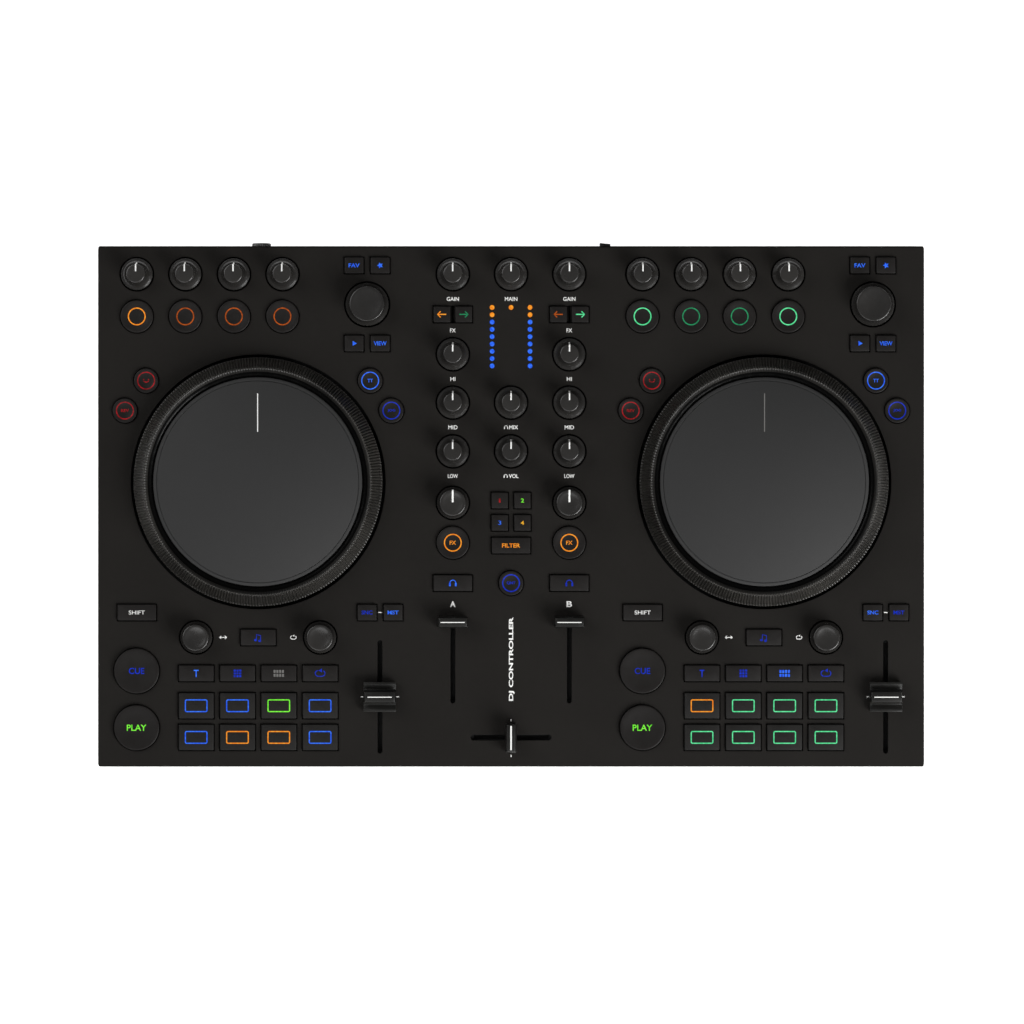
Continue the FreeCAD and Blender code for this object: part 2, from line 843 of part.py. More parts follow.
def make_key_switches():
    """A small square switch with a round plunger on the board under every key."""
    body = new_body("key_switches", z=size.board_top)
    for name, x, outlines in all_key_groups():
        places = [(key[1] + x, key[2]) for key in outlines]
        bases = boxes(places, size.switch_width, size.switch_width)
        pad(body, draw_outlines(new_sketch(body, f"bases_{name}"), bases, ZERO), size.switch_height)
        plungers = discs(places, size.plunger_radius)
        sketch = draw_outlines(new_sketch(body, f"plungers_{name}"), plungers, ZERO)
        pad(body, sketch, size.switch_height + size.plunger_height)
    add_power_switch_housing(body)
    return body


def add_power_switch_housing(body):
    """The block behind the rear wall that the rocker turns in, with bearing holes for its pin."""
    level = size.socket_height - size.board_top
    face = size.case_wall - size.case_depth * 0.5
    half_height = size.power_housing_height * 0.5
    block = new_sketch(body, "power_block", "XZ_Plane", face)
    outline = [box(size.power_x, level, size.power_housing_width, size.power_housing_height)]
    pad(body, draw_outlines(block, outline, ZERO), size.power_housing_depth)
    cavity = new_sketch(body, "power_cavity", "XZ_Plane", face)
    draw_outlines(cavity, [power_window(level)], ZERO)
    pocket(body, cavity, size.power_housing_cavity, up=True)
    bearing = new_sketch(body, "power_bearing", offset=level + half_height)
    pin = [disc(size.power_x, size.power_pivot_y, size.power_pin_radius)]
    draw_outlines(bearing, pin, size.power_pin_gap)
    pocket(body, bearing, size.power_housing_height)


# ---------------------------------------------------------------- rotary controls

def make_knob(name, x, y, skirt_radius, cap_radius, cap_top, dish_depth):
    """A turned knob: skirt, hollow flare and cap, hollow below, on a shaft of its own."""
    body = new_body(name, x=x, y=y)
    edge = size.knob_edge
    hollow_top = size.knob_bottom + size.knob_hollow_height
    hollow_radius = skirt_radius - size.knob_wall
    points = [
        (skirt_radius, size.knob_bottom),
        (skirt_radius, size.knob_skirt_top),
        (cap_radius + edge, size.knob_flare_top),
        (cap_radius, cap_top - edge),
        (cap_radius - edge, cap_top),
    ]
    if dish_depth is not None:
        points.append((cap_radius - size.dish_margin, cap_top))
        points.append((ZERO, cap_top - dish_depth))
    else:
        points.append((ZERO, cap_top))
    points += [
        (ZERO, size.shaft_bore_top),
        (size.shaft_bore_radius, size.shaft_bore_top),
        (size.shaft_bore_radius, hollow_top),
        (hollow_radius, hollow_top),
        (hollow_radius, size.knob_bottom),
    ]
    cap = Drawing(new_sketch(body, "cap", "XZ_Plane"))
    cap.profile(points, {1: size.knob_flare_radius})
    revolve(body, cap.finish())
    shaft = Drawing(new_sketch(body, "shaft", "XZ_Plane"))
    shaft.profile([
        (ZERO, size.shaft_bottom),
        (size.shaft_radius, size.shaft_bottom),
        (size.shaft_radius, size.shaft_top),
        (ZERO, size.shaft_top),
    ])
    revolve(body, shaft.finish())
    return body


def make_pointer_knob(name, x, y):
    return make_knob(name, x, y, size.knob_skirt_radius, size.knob_cap_radius, size.knob_cap_top, None)


def make_dished_knob(name, x, y):
    return make_knob(name, x, y, size.knob_skirt_radius, size.dished_cap_radius,
                     size.dished_cap_top, size.dish_depth)


def make_deck_knobs(deck, side):
    knobs = []
    deck_x = size.deck_x * side
    for number, x in enumerate(fx_columns(), start=1):
        knobs.append(make_pointer_knob(f"fx_knob_{deck}_{number}", x + deck_x, size.top_knob_row))
    knobs.append(make_knob(f"browse_encoder_{deck}", size.browse_x + deck_x, size.browse_y,
                           size.browse_skirt_radius, size.browse_cap_radius,
                           size.dished_cap_top, size.dish_depth))
    for name, (x, y) in zip(("move_encoder", "loop_encoder"), encoder_places()):
        knobs.append(make_dished_knob(f"{name}_{deck}", x + deck_x, y))
    return knobs


def make_mixer_knobs():
    knobs = []
    for name, x, y, dished in mixer_knobs():
        maker = make_dished_knob if dished else make_pointer_knob
        knobs.append(maker(name, x, y))
    return knobs


def make_rotary_bodies():
    """The potentiometers and encoders on the board, each with a bushing that its shaft turns in."""
    body = new_body("rotary_control_bodies", z=size.board_top)
    groups = [("mixer", [(x, y) for name, x, y, dished in mixer_knobs()])]
    for deck, side in DECKS:
        groups.append((deck, [(x + size.deck_x * side, y) for x, y in deck_knob_places()]))
    for name, places in groups:
        cans = boxes(places, size.pot_width, size.pot_width)
        pad(body, draw_outlines(new_sketch(body, f"cans_{name}"), cans, ZERO), size.pot_top - size.board_top)
        bushings = discs(places, size.bushing_radius)
        sketch = draw_outlines(new_sketch(body, f"bushings_{name}"), bushings, ZERO)
        pad(body, sketch, size.bushing_top - size.board_top)
        bores = new_sketch(body, f"bores_{name}", offset=size.bushing_top - size.board_top)
        draw_outlines(bores, discs(places, size.bushing_bore_radius), ZERO)
        pocket(body, bores, size.bushing_top - size.bushing_bore_bottom)
    add_mic_potentiometer(body)
    return body


def add_mic_potentiometer(body):
    level = size.socket_height - size.board_top
    can = new_sketch(body, "mic_can", "XZ_Plane", -size.mic_pot_rear)
    draw_outlines(can, [box(size.mic_knob_x, level, size.pot_width, size.pot_width)], ZERO)
    pad(body, can, size.mic_pot_rear - size.mic_pot_front)
    bore = new_sketch(body, "mic_bore", "XZ_Plane", -size.mic_pot_rear)
    draw_outlines(bore, [disc(size.mic_knob_x, level, size.mic_pot_bore_radius)], ZERO)
    pocket(body, bore, size.mic_pot_bore_depth, up=True)


def make_mic_level_knob():
    """A short round knob on the rear edge, turned about an axis that runs front to rear."""
    body = new_body("mic_level_knob", x=size.mic_knob_x, z=size.socket_height)
    edge = size.mic_knob_edge
    drawing = Drawing(new_sketch(body, "turned"))
    drawing.profile([
        (ZERO, size.mic_shaft_end),
        (size.mic_shaft_radius, size.mic_shaft_end),
        (size.mic_shaft_radius, size.mic_knob_inner_y),
        (size.mic_knob_radius, size.mic_knob_inner_y),
        (size.mic_knob_radius, size.mic_knob_outer_y - edge),
        (size.mic_knob_radius - edge, size.mic_knob_outer_y),
        (ZERO, size.mic_knob_outer_y),
    ])
    revolve(body, drawing.finish())
    return body


# ---------------------------------------------------------------- jog wheels

def make_jog_rim(deck, side):
    """The ring that a finger turns, with a web under the plate and a hub on the bearing post."""
    body = new_body(f"jog_rim_{deck}", x=size.deck_x * side, y=size.jog_y)
    drawing = Drawing(new_sketch(body, "section", "XZ_Plane"))
    drawing.profile([
        (size.hub_bore_radius, size.hub_bottom),
        (size.hub_radius, size.hub_bottom),
        (size.hub_radius, size.jog_web_bottom),
        (size.jog_ring_inner, size.jog_web_bottom),
        (size.jog_ring_inner, size.jog_bottom),
        (size.jog_radius, size.jog_bottom),
        (size.jog_radius, size.jog_shoulder),
        (size.jog_crest_radius, size.jog_top),
        (size.jog_crest_inner, size.jog_top),
        (size.jog_valley_radius, size.jog_valley_top),
        (size.jog_valley_radius, size.jog_web_top),
        (size.hub_bore_radius, size.jog_web_top),
    ])
    revolve(body, drawing.finish())
    return body


def make_jog_plate(deck, side):
    """The touch plate: a shallow dish, open below, that stands on the rim's web."""
    body = new_body(f"jog_plate_{deck}", x=size.deck_x * side, y=size.jog_y)
    under = size.plate_top - size.plate_thickness
    drawing = Drawing(new_sketch(body, "section", "XZ_Plane"))
    drawing.profile([
        (ZERO, under),
        (size.plate_radius - size.plate_wall, under),
        (size.plate_radius - size.plate_wall, size.jog_web_top),
        (size.plate_radius, size.jog_web_top),
        (size.plate_radius, size.plate_edge_top),
        (size.plate_face_radius, size.plate_top),
        (ZERO, size.plate_top),
    ])
    revolve(body, drawing.finish())
    return body


def make_jog_bearings():
    """A flanged post on the board for each jog wheel to turn on."""
    body = new_body("jog_bearings", z=size.board_top)
    places = [(size.deck_x * side, size.jog_y) for deck, side in DECKS]
    for name, radius, top in (("bases", size.bearing_base_radius, size.bearing_base_top),
                              ("posts", size.bearing_radius, size.bearing_top)):
        sketch = draw_outlines(new_sketch(body, name), discs(places, radius), ZERO)
        pad(body, sketch, top - size.board_top)
    return body


# ---------------------------------------------------------------- sliding controls

def add_lever(body, width, length):
    """The blade that goes down through the panel's slot into the track."""
    lever = draw_outlines(new_sketch(body, "lever", offset=size.lever_bottom),
                          [box(ZERO, ZERO, width, length)], ZERO)
    pad(body, lever, size.lever_top - size.lever_bottom)


def make_tempo_fader(deck, side):
    """A long-throw cap: a ledge at each end, a hollow on each side and a ridge across the middle."""
    body = new_body(f"tempo_fader_{deck}", x=size.tempo_x + size.deck_x * side, y=-size.tempo_row)
    half = size.tempo_cap_length * 0.5
    rear = [
        (half, size.cap_bottom),
        (half, size.tempo_cap_ledge_top),
        (half - size.tempo_cap_ledge, size.tempo_cap_ledge_top),
        (size.tempo_cap_valley_half, size.tempo_cap_valley_top),
        (size.tempo_cap_ridge_half, size.tempo_cap_top),
    ]
    front = [(-across, up) for across, up in reversed(rear)]
    drawing = Drawing(new_sketch(body, "side", "YZ_Plane"))
    drawing.profile(rear + front)
    pad(body, drawing.finish(), size.tempo_cap_width, midplane=True)
    add_lever(body, size.lever_width, size.lever_length)
    return body


def ridge_profile(half, ridge_half):
    return [
        (half, size.cap_bottom),
        (half, size.tempo_cap_valley_top),
        (ridge_half, size.line_cap_top),
        (-ridge_half, size.line_cap_top),
        (-half, size.tempo_cap_valley_top),
        (-half, size.cap_bottom),
    ]


def make_line_fader(deck, side):
    body = new_body(f"line_fader_{deck}", x=size.channel_x * side, y=-size.line_fader_rest)
    drawing = Drawing(new_sketch(body, "side", "YZ_Plane"))
    drawing.profile(ridge_profile(size.line_cap_length * 0.5, size.line_cap_ridge_half))
    pad(body, drawing.finish(), size.line_cap_width, midplane=True)
    add_lever(body, size.lever_width, size.lever_length)
    return body


def make_crossfader():
    body = new_body("crossfader", y=-size.crossfader_row)
    drawing = Drawing(new_sketch(body, "side", "XZ_Plane"))
    drawing.profile(ridge_profile(size.line_cap_length * 0.5, size.line_cap_ridge_half))
    pad(body, drawing.finish(), size.cross_cap_length, midplane=True)
    add_lever(body, size.lever_length, size.lever_width)
    return body


def make_fader_tracks():
    """The slide potentiometers under the slots, each with a groove for its lever."""
    body = new_body("fader_tracks", z=size.board_top)
    housings = []
    grooves = []
    for kind, x, y, width, length in upright_slots():
        housings.append(box(x, y, size.track_width, length + size.track_margin * 2))
        grooves.append(box(x, y, size.track_groove_width, length))
    for kind, x, y, width, length in cross_slot():
        housings.append(box(x, y, width + size.track_margin * 2, size.track_width))
        grooves.append(box(x, y, width, size.track_groove_width))
    sketch = draw_outlines(new_sketch(body, "housings"), housings, ZERO)
    pad(body, sketch, size.track_top - size.board_top)
    sketch = new_sketch(body, "grooves", offset=size.track_top - size.board_top)
    pocket(body, draw_outlines(sketch, grooves, ZERO), size.track_top - size.track_groove_bottom)
    return body


# ---------------------------------------------------------------- meter, switch and sockets

def make_meter_lenses():
    """Small round light pipes that end level with the panel."""
    body = new_body("level_meter_lenses", z=size.lens_bottom)
    lenses = draw_outlines(new_sketch(body, "lenses"), discs(meter_places(), size.lens_radius), ZERO)
    pad(body, lenses, size.panel_top - size.lens_bottom)
    return body


def make_power_switch():
    """A narrow rocker on an upright pin, resting with its left side pushed out."""
    body = new_body("power_switch", x=size.power_x, z=size.socket_height)
    drawing = Drawing(new_sketch(body, "plan"))
    drawing.profile([
        (-size.power_back_half_width, size.power_back_y),
        (size.power_back_half_width, size.power_back_y),
        (size.power_half_width, size.power_low_y),
        (-size.power_half_width, size.power_high_y),
    ])
    pad(body, drawing.finish(), size.power_height, midplane=True)
    pin = new_sketch(body, "pin")
    draw_outlines(pin, [disc(ZERO, size.power_pivot_y, size.power_pin_radius)], ZERO)
    pad(body, pin, size.power_height + size.power_pin_length * 2, midplane=True)
    return body


def make_sockets():
    """Three jack sockets and a small data socket behind the rear wall, one jack behind the front."""
    body = new_body("sockets", z=size.socket_height)
    wall_y = size.case_depth * 0.5 - size.case_wall
    rear_jacks = [(x, ZERO) for x in (size.mic_jack_x, size.main_left_x, size.main_right_x)]
    rear = new_sketch(body, "rear_jacks", "XZ_Plane", -wall_y)
    draw_outlines(rear, boxes(rear_jacks, size.jack_width, size.jack_width), ZERO)
    pad(body, rear, size.jack_length)
    front_jack = [(size.phones_jack_x, ZERO)]
    front = new_sketch(body, "front_jack", "XZ_Plane", wall_y)
    draw_outlines(front, boxes(front_jack, size.jack_width, size.jack_width), ZERO)
    pad(body, front, size.jack_length, down=True)
    rear_bores = new_sketch(body, "rear_bores", "XZ_Plane", -wall_y)
    draw_outlines(rear_bores, discs(rear_jacks, size.jack_radius), ZERO)
    pocket(body, rear_bores, size.jack_depth, up=True)
    front_bore = new_sketch(body, "front_bore", "XZ_Plane", wall_y)
    draw_outlines(front_bore, discs(front_jack, size.jack_radius), ZERO)
    pocket(body, front_bore, size.jack_depth)
    add_usb_socket(body, size.case_depth * 0.5)
    return body


def add_usb_socket(body, face_y):
    shell = [box(size.usb_x, ZERO, size.usb_width, size.usb_height)]
    outside = draw_outlines(new_sketch(body, "usb_shell", "XZ_Plane", -face_y), shell, ZERO)
    pad(body, outside, size.usb_length)
    inside = new_sketch(body, "usb_inside", "XZ_Plane", -face_y)
    pocket(body, draw_outlines(inside, shell, -size.usb_wall), size.usb_depth, up=True)


# ---------------------------------------------------------------- assembly

def make_all():
    parts = [make_top_panel(), make_bottom_case(), make_rubber_feet(), make_case_screws(),
             make_circuit_board(), make_key_switches(), make_rotary_bodies(), make_jog_bearings(),
             make_fader_tracks(), make_meter_lenses(), make_sockets()]
    for deck, side in DECKS:
        parts.append(make_jog_rim(deck, side))
        parts.append(make_jog_plate(deck, side))
        parts += make_deck_knobs(deck, side)
        parts.append(make_tempo_fader(deck, side))
        parts.append(make_line_fader(deck, side))
    parts += make_mixer_knobs()
    parts.append(make_crossfader())
    parts.append(make_mic_level_knob())
    parts.append(make_power_switch())
    for name, x, outlines in all_key_groups():
        transport = name.startswith(("cue", "play"))
        proud = size.transport_proud if transport else size.key_proud
        parts.append(make_keys(name, x, outlines, proud))
    return parts


def check_and_write(parts):
    """Stop if anything failed to build, then write one file for each part."""
    document.recompute()
    for thing in document.Objects:
        if "Invalid" in thing.State or "Error" in thing.State:
            raise ValueError(f"{thing.Label} failed: {thing.State}")
    for part in parts:
        if part.Shape.isNull() or not part.Shape.isValid():
            raise ValueError(f"{part.Label} has no sound shape")
    os.makedirs("parts", exist_ok=True)
    for part in parts:
        part.Shape.exportStep(f"parts/{part.Label}.step")
        print(part.Label, len(part.Shape.Solids), "solids", round(part.Shape.Volume), "mm3")


check_and_write(make_all())
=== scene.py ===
# %% [markdown]
# # Finishing a two-deck DJ controller
# The controller is a flat black case with two jog wheels, a mixer between them, and knobs, faders
# and lit keys.  The sizes, places and motion come ready made in a frame of CAD solids.  This
# lesson gives those solids their finish, and models again, with rounder edges and finer detail,
# the parts that a hand touches.  Everything is drawn in millimetres and brought to metres at the
# end.

# %% load the frame
import collections
import json
import math

import bmesh
import bpy
from mathutils import Matrix, Vector

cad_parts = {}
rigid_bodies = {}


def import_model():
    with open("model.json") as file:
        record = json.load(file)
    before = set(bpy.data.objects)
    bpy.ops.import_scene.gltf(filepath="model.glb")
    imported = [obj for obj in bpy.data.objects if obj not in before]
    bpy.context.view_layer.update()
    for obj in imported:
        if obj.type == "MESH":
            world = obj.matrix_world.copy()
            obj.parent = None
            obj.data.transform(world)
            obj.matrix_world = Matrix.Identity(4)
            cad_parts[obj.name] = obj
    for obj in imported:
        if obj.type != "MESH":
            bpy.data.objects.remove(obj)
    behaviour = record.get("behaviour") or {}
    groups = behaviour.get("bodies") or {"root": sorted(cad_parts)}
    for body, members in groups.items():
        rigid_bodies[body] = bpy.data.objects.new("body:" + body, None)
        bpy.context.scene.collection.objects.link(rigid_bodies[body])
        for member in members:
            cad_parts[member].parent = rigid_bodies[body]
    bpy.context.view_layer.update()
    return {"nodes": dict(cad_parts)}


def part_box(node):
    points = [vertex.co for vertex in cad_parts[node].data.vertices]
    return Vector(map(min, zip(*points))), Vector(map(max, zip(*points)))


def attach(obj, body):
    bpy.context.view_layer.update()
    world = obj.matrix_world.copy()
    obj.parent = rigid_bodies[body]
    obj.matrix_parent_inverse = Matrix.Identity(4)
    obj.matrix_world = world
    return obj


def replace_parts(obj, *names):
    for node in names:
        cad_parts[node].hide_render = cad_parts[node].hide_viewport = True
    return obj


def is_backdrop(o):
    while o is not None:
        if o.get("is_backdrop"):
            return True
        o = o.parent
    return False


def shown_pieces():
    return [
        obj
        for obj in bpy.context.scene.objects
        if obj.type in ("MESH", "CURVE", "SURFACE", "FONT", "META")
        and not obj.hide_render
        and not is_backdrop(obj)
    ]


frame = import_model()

MM = 0.001
DECKS = ("left", "right")
scene = bpy.context.scene


def node_box(node):
    """The lowest and highest corner of a CAD node, in millimetres."""
    low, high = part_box(node)
    return low / MM, high / MM


def middle_of(node):
    low, high = node_box(node)
    return (low + high) / 2


PANEL_TOP = node_box("level_meter_lenses")[1].z
print("panel top at", round(PANEL_TOP, 2), "mm")

# %% [markdown]
# ## Camera and light
# The controller is seen from straight above, from far away through a long lens, so that tall
# knobs don't lean outwards.  A flat black panel mirrors whatever hangs right over it, so the sky
# is kept dim and the light comes from the sides: a large soft box low at the front right, which
# draws the bright crescents on the knobs, and two weaker ones to fill.

# %% camera
CAMERA_DISTANCE = 4.2    # metres above the panel
FIELD_WIDTH = 0.5504     # metres across what the camera sees there
AIM = (0.0005, -0.003)   # metres from the middle, to the right and towards the front
camera_data = bpy.data.cameras.new("overhead_camera")
camera_data.lens = camera_data.sensor_width * CAMERA_DISTANCE / FIELD_WIDTH
camera = bpy.data.objects.new("overhead_camera", camera_data)
camera.location = (*AIM, PANEL_TOP * MM + CAMERA_DISTANCE)
scene.collection.objects.link(camera)
scene.camera = camera
scene.view_settings.view_transform = "Standard"
print("lens", round(camera_data.lens, 1), "mm")


# %% soft boxes and sky
SKY_STRENGTH = 0.12


def soft_box(name, azimuth, elevation, distance, width, watts):
    """A square area light that faces the controller; azimuth runs anticlockwise from the right."""
    data = bpy.data.lights.new(name, "AREA")
    data.size = width
    data.energy = watts
    around, lift = math.radians(azimuth), math.radians(elevation)
    level = math.cos(lift)
    direction = Vector((math.cos(around) * level, math.sin(around) * level, math.sin(lift)))
    light = bpy.data.objects.new(name, data)
    light.location = direction * distance
    light.rotation_euler = direction.to_track_quat("Z", "Y").to_euler()
    scene.collection.objects.link(light)


soft_box("key_light", azimuth=-42, elevation=38, distance=1.9, width=1.1, watts=38)
soft_box("fill_light", azimuth=150, elevation=42, distance=2.0, width=1.3, watts=14)
soft_box("front_light", azimuth=-110, elevation=50, distance=2.2, width=1.4, watts=11)

sky = bpy.data.worlds.new("studio")
scene.world = sky
sky.use_nodes = True
backdrop = sky.node_tree.nodes["Background"]
backdrop.inputs["Color"].default_value = (1.0, 1.0, 1.0, 1.0)
backdrop.inputs["Strength"].default_value = SKY_STRENGTH
print("lights", [thing.name for thing in scene.objects if thing.type == "LIGHT"])

# %% [markdown]
# ## Finishes
# Each finish starts from what the real surface is and how it was made.  Moulded ABS is never
# quite even: the mould is spark-eroded to a fine grain, handling polishes the edges, and the
# gloss varies from place to place.  Edges are also drawn paler as a painted highlight, which on
# the knobs, the rim ribs and the fader caps stands in for the light they catch.  One function
# builds that for every dull plastic, rubber and metal here, from grain width, grain depth and
# edge width in millimetres.  The lit legends glow through tinted plastic.


# %% node and colour helpers
def linear(code):
    """An sRGB hex colour as linear red, green, blue and alpha."""
    channels = [int(code[start:start + 2], 16) / 255 for start in (1, 3, 5)]
    curve = [c / 12.92 if c <= 0.04045 else ((c + 0.055) / 1.055) ** 2.4 for c in channels]
    return (*curve, 1.0)


def add_node(tree, kind, sockets, **fields):
    """Add one node: fields set its options, and sockets are values or links by name or number."""
    made = tree.nodes.new(kind)
    for field, value in fields.items():
        setattr(made, field, value)
    for name, value in sockets.items():
        if isinstance(value, bpy.types.NodeSocket):
            tree.links.new(value, made.inputs[name])
        else:
            made.inputs[name].default_value = value
    return made


def new_tree(name):
    material = bpy.data.materials.new(name)
    material.use_nodes = True
    material.node_tree.nodes.clear()
    return material, material.node_tree


def show(tree, shader):
    add_node(tree, "ShaderNodeOutputMaterial", {"Surface": shader.outputs["BSDF"]})


print("panel black in linear light", [round(c, 4) for c in linear("#222220")[:3]])

# %% [markdown]
# The grain is noise as wide as the pits of an eroded mould, 0.1 to 0.3 mm; it is drawn at about
# 0.3 mm where the true one would be too fine to show.  Broad patches 35 mm wide move the colour a
# little, and patches of 4 mm move the gloss.  Edges are found by comparing the true normal with
# one that is rounded over a fraction of a millimetre, which also softens the sharp CAD edges.


# %% one surface for the dull finishes
COLOUR_PATCH = 35.0      # millimetres across the patches that move the colour
GLOSS_PATCH = 4.0        # and across those that move the gloss
NOISE_LOW, NOISE_HIGH = 0.3, 0.7     # where nearly all of a noise texture lies
COLOUR_SHARE = 0.12      # how far a patch goes towards the pale edge colour
WEAR_AND_HIGHLIGHT_SHARE = 0.7         # and how far an edge does: rubbed wear and painted highlight


def dull_surface(name, base, worn_and_highlight, roughness, grain, depth, edge, specular=0.5, metallic=0.0,
                 spread=0.05):
    """A dull finish: sRGB colours, then grain width, grain depth and edge width in millimetres."""
    material, tree = new_tree(name)
    place = add_node(tree, "ShaderNodeTexCoord", {}).outputs["Object"]
    pits = add_node(tree, "ShaderNodeTexNoise", {
        "Vector": place, "Scale": 1 / (grain * MM), "Detail": 2.0})
    patches = add_node(tree, "ShaderNodeTexNoise", {
        "Vector": place, "Scale": 1 / (COLOUR_PATCH * MM), "Detail": 3.0})
    gloss = add_node(tree, "ShaderNodeTexNoise", {
        "Vector": place, "Scale": 1 / (GLOSS_PATCH * MM), "Detail": 4.0})
    rounded = add_node(tree, "ShaderNodeBevel", {"Radius": edge * MM}, samples=4)
    flat = add_node(tree, "ShaderNodeNewGeometry", {})
    facing = add_node(tree, "ShaderNodeVectorMath", {
        0: rounded.outputs["Normal"], 1: flat.outputs["Normal"]}, operation="DOT_PRODUCT")
    # edges are drawn towards the pale colour: partly rubbed wear, partly a painted highlight
    wear_and_highlight = add_node(tree, "ShaderNodeMapRange", {
        "Value": facing.outputs["Value"], "From Min": 0.99, "From Max": 0.8,
        "To Min": 0.0, "To Max": WEAR_AND_HIGHLIGHT_SHARE})
    varied = add_node(tree, "ShaderNodeMapRange", {
        "Value": patches.outputs["Fac"], "From Min": NOISE_LOW, "From Max": NOISE_HIGH,
        "To Min": 0.0, "To Max": COLOUR_SHARE})
    body = add_node(tree, "ShaderNodeMixRGB", {
        "Fac": varied.outputs["Result"], "Color1": linear(base), "Color2": linear(worn_and_highlight)})
    colour = add_node(tree, "ShaderNodeMixRGB", {
        "Fac": wear_and_highlight.outputs["Result"], "Color1": body.outputs["Color"], "Color2": linear(worn_and_highlight)})
    rough = add_node(tree, "ShaderNodeMapRange", {
        "Value": gloss.outputs["Fac"], "From Min": NOISE_LOW, "From Max": NOISE_HIGH,
        "To Min": roughness - spread, "To Max": roughness + spread})
    bump = add_node(tree, "ShaderNodeBump", {
        "Height": pits.outputs["Fac"], "Distance": depth * MM, "Normal": rounded.outputs["Normal"]})
    shader = add_node(tree, "ShaderNodeBsdfPrincipled", {
        "Base Color": colour.outputs["Color"], "Roughness": rough.outputs["Result"],
        "Normal": bump.outputs["Normal"], "Metallic": metallic, "Specular IOR Level": specular})
    show(tree, shader)
    return material


print("colour varies over", COLOUR_PATCH, "mm and gloss over", GLOSS_PATCH, "mm")

# %% plastics and rubber
# Each row: the name, the base colour, the pale colour of worn edges and painted highlights,
# roughness, then grain width, grain depth and edge width in millimetres, specular level, and for
# the knobs metallic and the spread of the roughness.
PLASTICS = {
    # textured ABS of the panel: broad soft sheen, fine spark-eroded grain
    "panel_finish": ("textured_abs_panel", "#191715", "#2c2a27", 0.6, 0.3, 0.012, 0.35, 0.12),
    "case_finish": ("textured_abs_case", "#191715", "#2c2a27", 0.62, 0.35, 0.015, 0.5, 0.15),
    # smoother ABS of the knobs, which the fingers polish; their pale edges are partly wear
    # and partly a painted highlight
    "knob_plastic": ("satin_abs_knobs", "#201f1e", "#5a5753", 0.24, 0.2, 0.002, 0.25, 0.65,
                     0.0, 0.03),
    # the rib edges are painted pale as highlights, with some wear where fingers drag on them, and
    # the groove inside them is a near-black copy of the same plastic: painted shade in the recess
    "jog_rim_plastic": ("moulded_abs_rim_ribs", "#11100f", "#716e68", 0.32, 0.2, 0.003, 0.25, 0.5),
    "rim_groove_painted_shade": ("polished_abs_rim_groove", "#050505", "#141413", 0.25, 0.2, 0.002, 0.2, 0.2),
    # satin ABS of the fader caps: a soft gloss, with a painted highlight on the pale ridge ends
    "fader_cap_plastic": ("satin_abs_fader_caps", "#131312", "#4c4a46", 0.38, 0.2, 0.004, 0.25,
                          0.25),
    # silicone rubber keys: matt, with the faintest sheen
    "key_plastic": ("moulded_silicone_keys", "#191716", "#2f2d2a", 0.42, 0.22, 0.006, 0.3, 0.2),
    "pad_silicone": ("moulded_silicone_pads", "#191817", "#302e2c", 0.46, 0.22, 0.006, 0.3, 0.2),
    # matt black mouldings that are hardly seen, and the black mask of the board
    "foot_rubber": ("moulded_foot_rubber", "#121212", "#242424", 0.75, 0.4, 0.03, 0.4, 0.25),
    "socket_plastic": ("moulded_nylon_sockets", "#0f0f0f", "#222222", 0.45, 0.2, 0.006, 0.2, 0.4),
    "switch_housing": ("moulded_switch_bodies", "#0d0d0d", "#1c1c1c", 0.6, 0.2, 0.006, 0.2, 0.2),
    "board_laminate": ("black_solder_mask", "#070808", "#101312", 0.6, 0.5, 0.01, 0.2, 0.15),
}
FINISHES = {slot: dull_surface(*settings) for slot, settings in PLASTICS.items()}
print("plastics", len(FINISHES))

# %% metals
# The same row without a specular level, which ends with the spread of the roughness.
METALS = {
    # bead-blasted and black anodised aluminium: a wide dull reflection with no clear highlight
    "jog_plate_metal": ("black_anodised_aluminium", "#434343", "#4a4a4a", 0.62, 0.25, 0.001, 0.3,
                        0.01),
    # steel: darker and smoother, with bright edges
    "screw_steel": ("black_zinc_steel_screws", "#3a3a3c", "#77777a", 0.35, 0.3, 0.004, 0.15, 0.05),
    "can_steel": ("tinned_steel_cans", "#2c2c2c", "#4a4a4a", 0.5, 0.3, 0.004, 0.15, 0.05),
    "bearing_metal": ("turned_steel_posts", "#7d7d7d", "#a0a0a0", 0.3, 0.3, 0.003, 0.15, 0.05),
}
for slot, (*settings, spread) in METALS.items():
    FINISHES[slot] = dull_surface(*settings, metallic=1.0, spread=spread)
print("dull finishes", len(FINISHES))

# %% [markdown]
# Printed legends are a thick screen ink that sits a few hundredths of a millimetre proud,
# slightly uneven in cover.  Lit legends are clear windows in black keys with a diode under them:
# the light is brighter over the diode and falls off in soft blots about a millimetre wide.


# %% inks and lamps
BLOT = 1.2               # millimetres across a bright blot over a diode
LENS_GRAIN = 0.2         # and across the grain of the light pipe
LAMP_STRENGTH = 1.0


def lit_surface(name, glow, deep):
    """Tinted light pipe: glow where the diode is near, deep where it is far."""
    material, tree = new_tree(name)
    place = add_node(tree, "ShaderNodeTexCoord", {}).outputs["Object"]
    blots = add_node(tree, "ShaderNodeTexNoise", {
        "Vector": place, "Scale": 1 / (BLOT * MM), "Detail": 1.0})
    near = add_node(tree, "ShaderNodeMapRange", {
        "Value": blots.outputs["Fac"], "From Min": 0.35, "From Max": 0.65})
    colour = add_node(tree, "ShaderNodeMixRGB", {
        "Fac": near.outputs["Result"], "Color1": linear(deep), "Color2": linear(glow)})
    grain = add_node(tree, "ShaderNodeTexNoise", {
        "Vector": place, "Scale": 1 / (LENS_GRAIN * MM)})
    bump = add_node(tree, "ShaderNodeBump", {
        "Height": grain.outputs["Fac"], "Distance": 0.004 * MM})
    shader = add_node(tree, "ShaderNodeBsdfPrincipled", {
        "Base Color": linear("#060606"), "Roughness": 0.45, "Normal": bump.outputs["Normal"],
        "Specular IOR Level": 0.15, "Emission Color": colour.outputs["Color"],
        "Emission Strength": LAMP_STRENGTH})
    show(tree, shader)
    return material


